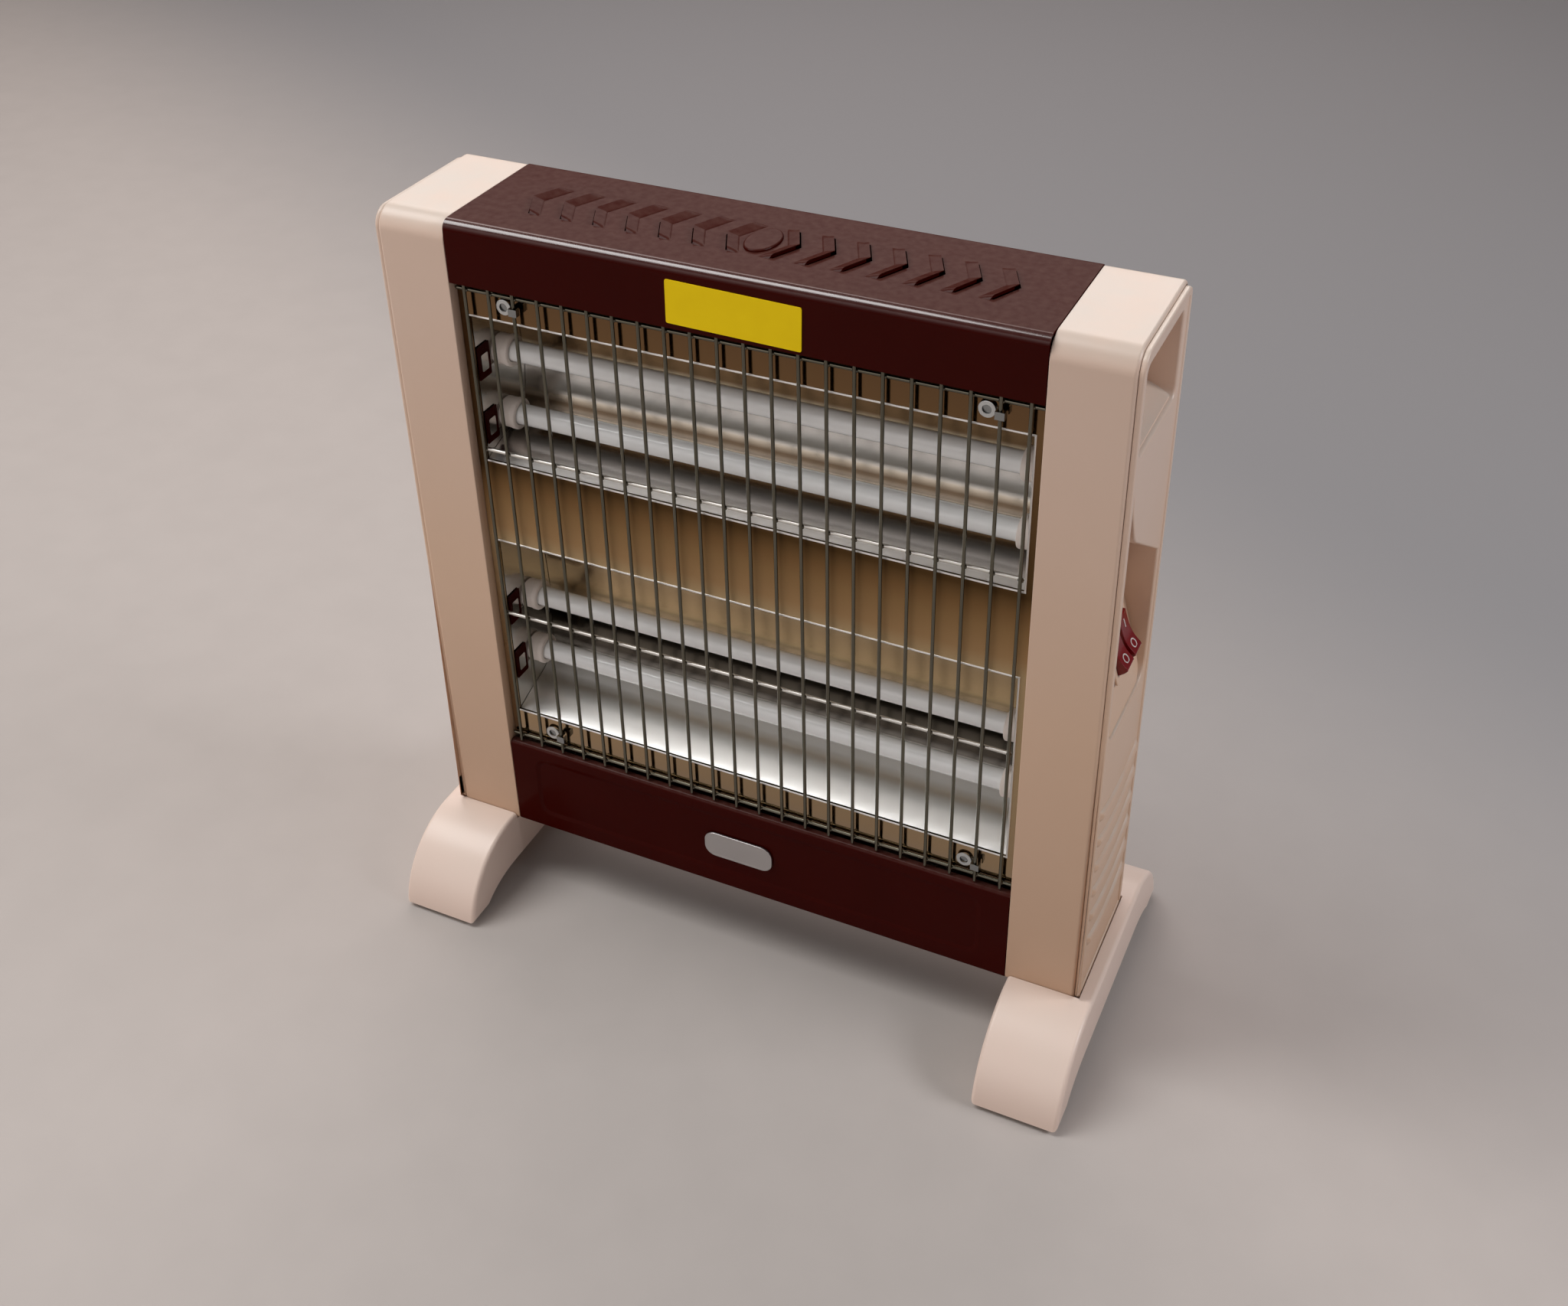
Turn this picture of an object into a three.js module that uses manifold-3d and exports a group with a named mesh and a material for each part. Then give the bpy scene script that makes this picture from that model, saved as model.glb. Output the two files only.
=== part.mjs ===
// Free-standing halogen heater: four quartz tubes in two reflector bays behind a wire grille,
// a folded steel body between two plastic side shells, and a pair of arched feet.
// Millimetres. +X is the heater's own left as it faces -Y, +Z is up, the floor is z = 0.
import * as THREE from "three";
import { mergeVertices } from "three/addons/utils/BufferGeometryUtils.js";
import Module from "manifold-3d";

const wasm = await Module();
wasm.setup();

// Driving dimensions
const gap = 0.3;
const totalHeight = 450;
const bodyHalfWidth = 161;
const bodyHalfDepth = 42.5;
const bodyBottom = 43;
const sheet = 1.2;
const sheetFront = -42.3;
const bandBottom = 415.5;
const lowerPanelTop = 107.5;
const shellOuter = 201.5;
const shellWall = 2.5;
const shellCorner = 12;
const coverOuter = 204.5;
const plateFront = -36.3;
const plateThickness = 1;
const bayHalfWidth = 155.2;
const upperBay = { bottom: 307, top: 395, tubes: [365.7, 326.3] };
const lowerBay = { bottom: 130, top: 253, tubes: [202.6, 162.8] };
const tubeAxisY = -14;
const tubeRadius = 5.9;
const tubeBore = 4.9;
const tubeHalfLength = 152.4;
const capFace = 144.7;
const capRadius = 9;
const capNeck = 6.5;
const capOuterEnd = 166;
const wireCount = 22;
const wirePitch = 14.65;
const wireRadius = 1;
const crossWireRadius = 1.1;
const uprightY = -39.8;
const crossWireY = -38;
const crossWires = [
  { z: 411.5, half: 160.4 },
  { z: 315, half: 154.9 },
  { z: 204, half: 154.9 },
  { z: 112, half: 160.4 },
];
const screwX = 9 * wirePitch;
const screwHeights = { top: 405, bottom: 120 };
const footInner = 163;
const footOuter = 213;
const footHalfDepth = 100;
const footTop = 47;
const padHeight = 2.7;
const louvreCount = 7;
const louvrePitch = 18.75;
const louvreFirst = 20.5;
const louvreArm = 16.5;
const louvreSlant = 0.47;
const louvreRise = 2.9;
const topBoss = { halfWidth: 8.8, halfDepth: 14, rise: 2.6 };
const pocket = { front: -34, rear: 33, bottom: 391, top: 440, floor: 187.5 };
const recessSlope = THREE.MathUtils.degToRad(18);
const recessBottom = 219;
const recessBack = 187.5;
const switchAlong = 37.1;
const switchY = 12;
const rockerPitch = 14.6;
const rockerWidth = 11.6;

// Materials
function finish(name, color, roughness, metalness) {
  return new THREE.MeshStandardMaterial({ name, color, roughness, metalness });
}
const cream = finish("cream_plastic", 0xe3cdb8, 0.42, 0);
const footCream = finish("foot_plastic", 0xe0c6b4, 0.45, 0);
const maroon = finish("maroon_enamel", 0x2c0705, 0.3, 0.2);
const bronzed = finish("bronzed_steel", 0x7a5c34, 0.22, 1);
const mirror = finish("bright_steel", 0xc9c9c6, 0.14, 1);
const chrome = finish("chrome_wire", 0xb9bcbc, 0.18, 1);
const quartz = finish("milky_quartz", 0xe6e8ea, 0.3, 0);
const ceramic = finish("ceramic", 0xd8c9b4, 0.75, 0);
const alloy = finish("heating_alloy", 0x6e6a66, 0.5, 1);
const redPlastic = finish("red_plastic", 0x8a0d12, 0.3, 0);
const blackPlastic = finish("black_plastic", 0x141414, 0.5, 0);
const rubber = finish("rubber", 0x1d1b1a, 0.9, 0);
const zinc = finish("zinc_plate", 0xb0b2b4, 0.35, 1);
const yellowFoil = finish("yellow_foil", 0xd7be17, 0.5, 0);
const silverFoil = finish("silver_foil", 0xa9a4a2, 0.35, 0.6);
const cableSheath = finish("wire_sheath", 0xb6b0a4, 0.6, 0);

// Closed solids
function solidOf(geometry) {
  const bare = geometry.clone();
  bare.deleteAttribute("normal");
  bare.deleteAttribute("uv");
  const merged = mergeVertices(bare, 1e-4);
  return new wasm.Manifold(new wasm.Mesh({
    numProp: 3,
    vertProperties: new Float32Array(merged.attributes.position.array),
    triVerts: new Uint32Array(merged.index.array),
  }));
}

function geometryOf(solid) {
  const mesh = solid.getMesh();
  const geometry = new THREE.BufferGeometry();
  geometry.setAttribute("position", new THREE.BufferAttribute(new Float32Array(mesh.vertProperties), 3));
  geometry.setIndex(new THREE.BufferAttribute(new Uint32Array(mesh.triVerts), 1));
  geometry.computeVertexNormals();
  return geometry;
}

function box(x0, x1, y0, y1, z0, z1) {
  const geometry = new THREE.BoxGeometry(x1 - x0, y1 - y0, z1 - z0);
  return solidOf(geometry.translate((x0 + x1) / 2, (y0 + y1) / 2, (z0 + z1) / 2));
}

// A closed outline of [a, b] or [a, b, corner radius] points.
function outline(points, arcSteps = 4) {
  const shape = new THREE.Shape();
  const corners = points.map(([a, b]) => new THREE.Vector2(a, b));
  const path = [];
  points.forEach(([, , radius = 0], i) => {
    const here = corners[i];
    if (radius === 0) {
      path.push(here);
      return;
    }
    const before = corners[(i + corners.length - 1) % corners.length].clone().sub(here).normalize();
    const after = corners[(i + 1) % corners.length].clone().sub(here).normalize();
    const half = Math.acos(THREE.MathUtils.clamp(before.dot(after), -1, 1)) / 2;
    const start = here.clone().addScaledVector(before, radius / Math.tan(half));
    const end = here.clone().addScaledVector(after, radius / Math.tan(half));
    const centre = here.clone().addScaledVector(before.add(after).normalize(), radius / Math.sin(half));
    const from = start.clone().sub(centre);
    const turn = Math.sign(from.cross(end.clone().sub(centre))) * (Math.PI - 2 * half);
    for (let step = 0; step <= arcSteps; step += 1) {
      path.push(from.clone().rotateAround(new THREE.Vector2(), turn * step / arcSteps).add(centre));
    }
  });
  shape.setFromPoints(path);
  return shape;
}

function extrude(shape, depth, options = {}) {
  return new THREE.ExtrudeGeometry(shape, { depth, bevelEnabled: false, curveSegments: 8, ...options });
}

const depthToX = new THREE.Matrix4().makeBasis(
  new THREE.Vector3(0, 1, 0), new THREE.Vector3(0, 0, 1), new THREE.Vector3(1, 0, 0));
const depthToMinusY = new THREE.Matrix4().makeBasis(
  new THREE.Vector3(1, 0, 0), new THREE.Vector3(0, 0, 1), new THREE.Vector3(0, -1, 0));

// shape of [y, z] points, run from x0 to x1
function prismX(shape, x0, x1) {
  return solidOf(extrude(shape, x1 - x0).applyMatrix4(depthToX).translate(x0, 0, 0));
}

// shape of [x, z] points, run from y0 to y1
function prismY(shape, y0, y1) {
  return solidOf(extrude(shape, y1 - y0).applyMatrix4(depthToMinusY).translate(0, y1, 0));
}

// A turned piece: [radius, x] points round the X axis.
function turnedX(points, sides) {
  const profile = points.map(([radius, along]) => new THREE.Vector2(radius, along));
  return new THREE.LatheGeometry(profile, sides).rotateZ(-Math.PI / 2);
}

function rodX(radius, x0, x1, y, z, sides = 12) {
  const rod = new THREE.CylinderGeometry(radius, radius, x1 - x0, sides).rotateZ(Math.PI / 2);
  return solidOf(rod.translate((x0 + x1) / 2, y, z));
}

function rodY(radius, y0, y1, x, z, sides = 12) {
  const rod = new THREE.CylinderGeometry(radius, radius, y1 - y0, sides);
  return solidOf(rod.translate(x, (y0 + y1) / 2, z));
}

function rodZ(radius, z0, z1, x, y, sides = 12) {
  const rod = new THREE.CylinderGeometry(radius, radius, z1 - z0, sides).rotateX(Math.PI / 2);
  return solidOf(rod.translate(x, y, (z0 + z1) / 2));
}

function joined(solids) {
  return solids.reduce((whole, piece) => whole.add(piece));
}

function without(solid, cutters) {
  return cutters.reduce((rest, cutter) => rest.subtract(cutter), solid);
}

const heater = new THREE.Group();

function place(name, shape, material) {
  const geometry = shape.isBufferGeometry ? shape : geometryOf(shape);
  const mesh = new THREE.Mesh(geometry, material);
  mesh.name = name;
  heater.add(mesh);
  return mesh;
}

const sides = [{ name: "left", sign: -1 }, { name: "right", sign: 1 }];

// The mirror image of a right-hand solid for the left-hand side.
function onSide(solid, sign) {
  return sign > 0 ? solid : solid.mirror([1, 0, 0]);
}

// Top cover: front band, top plate and rear lip in one folded sheet
function louvre(side, index) {
  const tip = louvreFirst + index * louvrePitch;
  const inner = tip - 8.5;
  const hood = outline([
    [inner - 0.6, totalHeight - 0.8],
    [tip, totalHeight + louvreRise - 1],
    [tip, totalHeight + louvreRise],
    [inner, totalHeight + 0.2],
    [inner - 0.6, totalHeight - 0.2],
  ]);
  const slit = outline([
    [tip - 3.6, totalHeight - 2],
    [tip + 0.2, totalHeight - 2],
    [tip + 0.2, totalHeight + 0.2],
    [tip - 3.6, totalHeight + 0.2],
  ]);
  const arm = (shape, sign) => {
    const run = sign > 0 ? prismY(shape, 0, louvreArm) : prismY(shape, -louvreArm, 0);
    return run.transform([1, 0, 0, 0, -sign * louvreSlant, 1, 0, 0, 0, 0, 1, 0, 0, 0, 0, 1]);
  };
  return {
    hood: onSide(joined([arm(hood, 1), arm(hood, -1)]), side),
    slit: onSide(joined([arm(slit, 1), arm(slit, -1)]), side),
  };
}

function buildTopCover() {
  const half = bodyHalfWidth - gap;
  const rear = bodyHalfDepth;
  const profile = outline([
    [sheetFront, bandBottom],
    [sheetFront + sheet, bandBottom],
    [sheetFront + sheet, totalHeight - sheet, 4.3],
    [rear - sheet, totalHeight - sheet, 1.3],
    [rear - sheet, totalHeight - 12],
    [rear, totalHeight - 12],
    [rear, totalHeight, 2.5],
    [sheetFront, totalHeight, 5.5],
  ]);
  let cover = prismX(profile, -half, half);
  const louvres = [];
  for (const { sign } of sides) {
    for (let index = 0; index < louvreCount; index += 1) {
      louvres.push(louvre(sign, index));
    }
  }
  cover = without(cover, louvres.map(({ slit }) => slit));
  const { halfWidth, halfDepth, rise } = topBoss;
  const dome = new THREE.SphereGeometry(1, 20, 10).scale(halfWidth, halfDepth, rise);
  const above = box(-halfWidth, halfWidth, -halfDepth, halfDepth, totalHeight - 0.9, totalHeight + rise);
  const boss = solidOf(dome.translate(0, 0, totalHeight - 0.4)).intersect(above);
  return joined([cover, ...louvres.map(({ hood }) => hood), boss]);
}
place("top_cover", buildTopCover(), maroon);

// Lower front panel: front skirt with a shallow pressed field, and the floor plate behind it
function buildLowerPanel() {
  const half = bodyHalfWidth - gap;
  const rear = bodyHalfDepth - sheet - gap;
  const profile = outline([
    [sheetFront, bodyBottom, 3],
    [rear, bodyBottom],
    [rear, bodyBottom + sheet],
    [sheetFront + sheet, bodyBottom + sheet, 1.8],
    [sheetFront + sheet, lowerPanelTop - sheet, 1.4],
    [plateFront - gap - 1.4, lowerPanelTop - sheet],
    [plateFront - gap - 1.4, lowerPanelTop],
    [sheetFront, lowerPanelTop, 2.6],
  ]);
  const field = outline([[-145, 54, 9], [145, 54, 9], [145, 100, 9], [-145, 100, 9]]);
  return prismX(profile, -half, half).subtract(prismY(field, sheetFront - 1, sheetFront + 0.5));
}
place("lower_front_panel", buildLowerPanel(), maroon);

// Rear panel with vent slots and the hole for the cord bushing
const bushing = { x: 120, z: 76, hole: 6.3 };
const vents = { groups: [360, 190], rows: 5, rowPitch: 11, width: 52, height: 4 };
const ventColumns = [-105, -35, 35, 105];

function buildRearPanel() {
  const half = bodyHalfWidth - gap;
  const inner = bodyHalfDepth - sheet;
  const panel = box(-half, half, inner, bodyHalfDepth, bodyBottom, totalHeight - 12 - gap);
  const cutters = [rodY(bushing.hole, inner - 1, bodyHalfDepth + 1, bushing.x, bushing.z, 16)];
  for (const lowest of vents.groups) {
    for (let row = 0; row < vents.rows; row += 1) {
      for (const x of ventColumns) {
        const z = lowest + row * vents.rowPitch;
        const [left, right] = [x - vents.width / 2, x + vents.width / 2];
        cutters.push(box(left, right, inner - 1, bodyHalfDepth + 1, z, z + vents.height));
      }
    }
  }
  return without(panel, cutters);
}
place("rear_panel", buildRearPanel(), maroon);

// Reflector plate: the flat sheet behind the grille, with one window for each bay
function buildReflectorPlate() {
  const half = bodyHalfWidth - gap;
  const back = plateFront + plateThickness;
  const plate = box(-half, half, plateFront, back, lowerPanelTop + 1, 430);
  const cutters = [upperBay, lowerBay].map(({ bottom, top }) =>
    box(-bayHalfWidth, bayHalfWidth, plateFront - 1, back + 1, bottom, top));
  for (const x of [-screwX, screwX]) {
    for (const z of Object.values(screwHeights)) {
      cutters.push(rodY(2.3, plateFront - 1, back + 1, x, z));
    }
  }
  return without(plate, cutters);
}
place("reflector_plate", buildReflectorPlate(), bronzed);

// Reflector troughs: depth and inset from the window's edge to the middle of the trough
const troughFlank = [[0, 0], [14, 5], [27, 8.5], [36, 14], [42, 24]];
const troughDepth = 44.5;
const troughSheet = 0.8;

function troughCurve({ bottom, top }, offset) {
  const front = plateFront + plateThickness + gap;
  const lower = troughFlank.map(([depth, inset]) => [front + depth + offset, bottom + inset - offset]);
  const middle = [[front + troughDepth + offset, (bottom + top) / 2]];
  const upper = troughFlank.map(([depth, inset]) => [front + depth + offset, top - inset + offset]);
  return [...lower, ...middle, ...upper.reverse()];
}

function buildTrough(bay) {
  const inside = troughCurve(bay, 0);
  const outside = troughCurve(bay, troughSheet);
  outside[0] = [inside[0][0], inside[0][1] - troughSheet * 1.2];
  outside[outside.length - 1] = [inside[0][0], inside[inside.length - 1][1] + troughSheet * 1.2];
  return prismX(outline([...inside, ...outside.reverse()]), -bayHalfWidth, bayHalfWidth);
}

function buildTroughEnd(bay) {
  const rim = troughCurve(bay, troughSheet);
  const end = prismX(outline(rim), bayHalfWidth + gap, bayHalfWidth + gap + 1);
  const slots = bay.tubes.map((z) => {
    const slot = outline([[-31.5, z - 7, 1], [tubeAxisY + 7, z - 7, 6.9],
      [tubeAxisY + 7, z + 7, 6.9], [-31.5, z + 7, 1]]);
    return prismX(slot, bayHalfWidth, bayHalfWidth + 3);
  });
  return without(end, slots);
}

for (const [name, bay] of [["upper", upperBay], ["lower", lowerBay]]) {
  place(`${name}_reflector`, buildTrough(bay), mirror);
  for (const { name: side, sign } of sides) {
    place(`${name}_reflector_end_${side}`, onSide(buildTroughEnd(bay), sign), mirror);
  }
}

// Heating tubes, their elements and the ceramic holders
const holderProfile = [
  [tubeRadius + 0.35, capFace],
  [capRadius - 0.8, capFace],
  [capRadius, capFace + 0.8],
  [capRadius, bayHalfWidth - 0.1],
  [capNeck, bayHalfWidth - 0.1],
  [capNeck, bayHalfWidth + 1.7],
  [capRadius, bayHalfWidth + 1.7],
  [capRadius - 1.5, capOuterEnd],
  [1.6, capOuterEnd],
  [1.6, tubeHalfLength + 0.35],
  [tubeRadius + 0.35, tubeHalfLength + 0.35],
  [tubeRadius + 0.35, capFace],
];
const tubeProfile = [
  [tubeBore, -tubeHalfLength],
  [tubeRadius, -tubeHalfLength],
  [tubeRadius, tubeHalfLength],
  [tubeBore, tubeHalfLength],
  [tubeBore, -tubeHalfLength],
];
const elementProfile = [
  [0, -172], [0.8, -172], [0.8, -148], [2.8, -146],
  [2.8, 146], [0.8, 148], [0.8, 172], [0, 172],
];

[...upperBay.tubes, ...lowerBay.tubes].forEach((z, index) => {
  const number = index + 1;
  place(`quartz_tube_${number}`, turnedX(tubeProfile, 20).translate(0, tubeAxisY, z), quartz);
  place(`heating_element_${number}`, turnedX(elementProfile, 8).translate(0, tubeAxisY, z), alloy);
  for (const { name: side, sign } of sides) {
    const holder = solidOf(turnedX(holderProfile, 16));
    place(`ceramic_holder_${number}_${side}`, onSide(holder, sign).translate([0, tubeAxisY, z]), ceramic);
  }
});

// Grille: uprights in front, cross wires behind, welded where they meet
function buildGrille() {
  const wires = crossWires.map(({ z, half }) => rodX(crossWireRadius, -half, half, crossWireY, z, 8));
  for (let index = 0; index < wireCount; index += 1) {
    const x = (index - (wireCount - 1) / 2) * wirePitch;
    wires.push(rodZ(wireRadius, lowerPanelTop + 0.8, 424, x, uprightY, 8));
  }
  return joined(wires);
}
place("grille", buildGrille(), chrome);

// Hooked clips that hold the grille's end wires, each under a pan-head screw
function buildClip(x, screwZ, wireZ) {
  const up = Math.sign(wireZ - screwZ);
  const base = [plateFront - gap - 1, plateFront - gap];
  const front = [crossWireY - crossWireRadius - gap - 1, crossWireY - crossWireRadius - gap];
  const shoulder = wireZ - up * (crossWireRadius + gap + 0.1);
  const profile = outline([
    [base[1], screwZ - up * 5],
    [base[1], shoulder],
    [front[1], shoulder],
    [front[1], wireZ + up * 1.6],
    [front[0], wireZ + up * 1.6],
    [front[0], shoulder - up],
    [base[0], shoulder - up],
    [base[0], screwZ - up * 5],
  ]);
  return prismX(profile, x - 4.2, x + 4.2).subtract(rodY(2.3, base[0] - 3, base[1] + 1, x, screwZ));
}

function buildScrew(x, z) {
  const top = -(plateFront - 2 * gap - 1);
  const profile = [
    [0, top + 2.6], [2.2, top + 2.4], [3.4, top + 1.4], [3.8, top],
    [1.9, top], [1.9, 24], [0, 23],
  ].map(([radius, along]) => new THREE.Vector2(radius, -along));
  return new THREE.LatheGeometry(profile, 12).translate(x, 0, z);
}

for (const [level, wire] of [["top", crossWires[0]], ["bottom", crossWires[3]]]) {
  for (const { name: side, sign } of sides) {
    const z = screwHeights[level];
    const clip = buildClip(sign * screwX, z, wire.z);
    place(`grille_clip_${level}_${side}`, clip, zinc);
    place(`grille_screw_${level}_${side}`, buildScrew(sign * screwX, z), zinc);
  }
}

// Side shells: deep trays, open outwards, that carry the steel body between them
function sideOutline(inset) {
  const half = bodyHalfDepth - inset;
  const corner = shellCorner - inset;
  return outline([
    [-half, bodyBottom + inset, 3],
    [half, bodyBottom + inset, 3],
    [half, totalHeight - inset, corner],
    [-half, totalHeight - inset, corner],
  ], 6);
}

const footScrews = [{ name: "front", y: -26 }, { name: "rear", y: 26 }];
const footScrewX = 183;

function buildShell() {
  const outer = prismX(sideOutline(0), bodyHalfWidth, shellOuter);
  const hollow = prismX(sideOutline(shellWall), bodyHalfWidth + shellWall, shellOuter + 1);
  const window = box(bodyHalfWidth - 1, bodyHalfWidth + shellWall + 1, -30, 36, 112, 430);
  const wireHole = rodX(6.5, bodyHalfWidth - 1, bodyHalfWidth + shellWall + 1, 25, 76);
  const screwHoles = footScrews.map(({ y }) => rodZ(2.2, bodyBottom - 1, bodyBottom + 4, footScrewX, y));
  return without(outer, [hollow, window, wireHole, ...screwHoles]);
}
for (const { name, sign } of sides) {
  place(`side_shell_${name}`, onSide(buildShell(), sign), cream);
}

// Side covers: a plate with a locating lip, a grip pocket near the top and curved ribs below.
// The right cover also holds the switches in a scooped recess.
const ribs = { count: 6, pitch: 18.3, lowest: 72, groove: 8.5, sag: 9, lowestY: 6 };
const ribStations = [-38, -26, -12, 2, 16, 28, 38];

function ribGrooves() {
  const grooves = [];
  for (let index = 0; index < ribs.count; index += 1) {
    const low = ribs.lowest + index * ribs.pitch;
    const rise = (y) => ribs.sag * ((y - ribs.lowestY) / 44) ** 2;
    const upperEdge = ribStations.map((y) => [y, low + ribs.groove + rise(y)]);
    const lowerEdge = ribStations.map((y) => [y, low + rise(y)]);
    grooves.push(prismX(outline([...lowerEdge, ...upperEdge.reverse()]), coverOuter - 1, coverOuter + 1));
  }
  return grooves;
}

function slopePoint(along, height) {
  return [
    coverOuter - Math.sin(recessSlope) * along + Math.cos(recessSlope) * height,
    recessBottom + Math.cos(recessSlope) * along + Math.sin(recessSlope) * height,
  ];
}

// The recess seen from the side, and the wedge that its sloping floor leaves open.
function recessCavity(wall) {
  const mouth = outline([
    [-33 - wall, recessBottom - wall, 14],
    [36 + wall, recessBottom - wall, 14],
    [36 + wall, 302 + wall],
    [-21, 341 + wall],
    [-30, 362 + wall],
    [-35, 384 + wall],
    [-37 - wall, 384 + wall],
  ]);
  const back = recessBack - wall;
  const floorRun = (coverOuter - back) / Math.sin(recessSlope);
  const wedge = outline([
    slopePoint(-4, -wall),
    slopePoint(floorRun - wall / Math.tan(recessSlope), -wall),
    [back, 392],
    [coverOuter + 2, 392],
    [coverOuter + 2, recessBottom - 6],
  ]);
  return prismX(mouth, back - 1, coverOuter + 2).intersect(prismY(wedge, -45, 45));
}

// Turns and moves a solid from the switch's frame (X up the slope, Z outwards) to the cover.
function onRecessFloor(solid) {
  const [x, z] = slopePoint(switchAlong, 0);
  const up = [-Math.sin(recessSlope), 0, Math.cos(recessSlope)];
  const out = [Math.cos(recessSlope), 0, Math.sin(recessSlope)];
  return solid.transform([...up, 0, 0, 1, 0, 0, ...out, 0, x, switchY, z, 1]);
}

function buildCover(hasSwitches) {
  const inside = shellOuter + gap;
  const plate = prismX(sideOutline(0.4), inside, coverOuter);
  const lip = prismX(sideOutline(shellWall + gap), shellOuter - 4, inside + 0.5)
    .subtract(prismX(sideOutline(shellWall + gap + 2), shellOuter - 5, inside));
  const { front, rear, bottom, top, floor } = pocket;
  const pocketWall = box(floor - 2, inside + 0.5, front - 2, rear + 2, bottom - 2, top + 2);
  const mouth = outline([[front, bottom, 3], [rear, bottom, 3], [rear, top, 6], [front, top, 6]]);
  const pocketHollow = prismX(mouth, floor, coverOuter + 1);
  let cover = joined([plate, lip, pocketWall]);
  if (hasSwitches) {
    const inner = prismX(sideOutline(shellWall), floor - 5, coverOuter - 0.5);
    cover = cover.add(recessCavity(2).intersect(inner));
    cover = cover.subtract(recessCavity(0));
    cover = cover.subtract(onRecessFloor(box(-15.9, 15.9, -15.7, 15.7, -6, 6)));
  }
  return without(cover, [pocketHollow, ...ribGrooves()]);
}
for (const { name, sign } of sides) {
  place(`side_cover_${name}`, onSide(buildCover(sign > 0), sign), cream);
}

// Switch block and its two rockers; the rocker's ends are arcs about its pivot
const rockerPivot = -1;
const rockerReach = 12.8;

function buildSwitchBlock() {
  const body = box(-15.5, 15.5, -15.3, 15.3, -15, 1);
  const bezel = box(-17, 17, -16.8, 16.8, gap, 2.2);
  const wells = [-1, 1].map((sign) => {
    const middle = sign * rockerPitch / 2;
    const half = rockerWidth / 2 + 0.5;
    return box(-rockerReach - 0.5, rockerReach + 0.5, middle - half, middle + half, -12, 5);
  });
  return onRecessFloor(without(body.add(bezel), wells));
}
place("switch_block", buildSwitchBlock(), blackPlastic);

function buildRocker(sign) {
  const arc = (degrees) => {
    const angle = THREE.MathUtils.degToRad(degrees);
    return [rockerReach * Math.cos(angle), rockerPivot + rockerReach * Math.sin(angle)];
  };
  const lowerEnd = [-165, -180, -195, -210, -219].map(arc);
  const upperEnd = [18, 5, -15].map(arc);
  const face = [[-4, 4.4], [0, 3.3], [5, 2.9]];
  const middle = sign * rockerPitch / 2;
  const rocker = prismY(outline([...lowerEnd, ...face, ...upperEnd]),
    middle - rockerWidth / 2, middle + rockerWidth / 2);
  return onRecessFloor(rocker);
}
place("rocker_front", buildRocker(-1), redPlastic);
place("rocker_rear", buildRocker(1), redPlastic);

// Feet: arched bars, with a seat for the shell, on rubber pads
function buildFoot() {
  const toe = footHalfDepth;
  const shape = new THREE.Shape();
  shape.moveTo(-toe, padHeight + gap);
  shape.bezierCurveTo(-toe + 3, 26, -76, footTop - 1, -50, footTop);
  shape.lineTo(50, footTop);
  shape.bezierCurveTo(76, footTop - 1, toe - 3, 26, toe, padHeight + gap);
  shape.lineTo(toe - 15, padHeight + gap);
  shape.quadraticCurveTo(72, 14, 50, 14);
  shape.lineTo(-50, 14);
  shape.quadraticCurveTo(-72, 14, -toe + 15, padHeight + gap);
  const round = 3;
  const bar = extrude(shape, footOuter - footInner - 2 * round, {
    bevelEnabled: true, bevelThickness: round, bevelSize: round, bevelOffset: -round,
    bevelSegments: 2, curveSegments: 9,
  });
  const foot = solidOf(bar.applyMatrix4(depthToX).translate(footInner + round, 0, 0));
  const seat = box(footInner - 5, coverOuter + 0.4, -bodyHalfDepth - gap, bodyHalfDepth + gap,
    bodyBottom - gap, footTop + 5);
  const screwWays = footScrews.flatMap(({ y }) => [
    rodZ(2.3, 10, bodyBottom + 1, footScrewX, y),
    rodZ(5, 10, 24, footScrewX, y),
  ]);
  return without(foot, [seat, ...screwWays]);
}

function buildFootScrew(y) {
  const profile = [[0, 21], [4.2, 21], [4.2, 23.6], [1.9, 23.6], [1.9, 54], [0, 56]]
    .map(([radius, z]) => new THREE.Vector2(radius, z));
  return new THREE.LatheGeometry(profile, 12).rotateX(Math.PI / 2).translate(footScrewX, y, 0);
}

function buildPad(sign) {
  return box(footInner + 5, footOuter - 5, -1, 1, 0, padHeight)
    .scale([1, 5, 1])
    .translate([0, sign * (footHalfDepth - 9), 0]);
}

for (const { name, sign } of sides) {
  place(`foot_${name}`, onSide(buildFoot(), sign), footCream);
  for (const { name: end, y } of footScrews) {
    place(`foot_screw_${name}_${end}`, onSide(solidOf(buildFootScrew(y)), sign), zinc);
    place(`foot_pad_${name}_${end}`, onSide(buildPad(Math.sign(y)), sign), rubber);
  }
}

// Blank plates on the front: a film sticker on the band, a foil badge on the lower panel
const sticker = { left: -33, right: 40, bottom: 418, top: 441.5, corner: 1, thickness: 0.3 };
const badge = { left: -28, right: 16, bottom: 67, top: 85, corner: 7, thickness: 0.8 };

function blankPlate({ left, right, bottom, top, corner, thickness }) {
  const face = [[left, bottom, corner], [right, bottom, corner], [right, top, corner], [left, top, corner]];
  const back = sheetFront - gap;
  return prismY(outline(face), back - thickness, back);
}
place("front_sticker", blankPlate(sticker), yellowFoil);
place("front_badge", blankPlate(badge), silverFoil);

// Inside: terminal block, tilt switch, wiring and the bushing in the rear panel
const terminalFloor = bodyBottom + sheet + gap;

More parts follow.
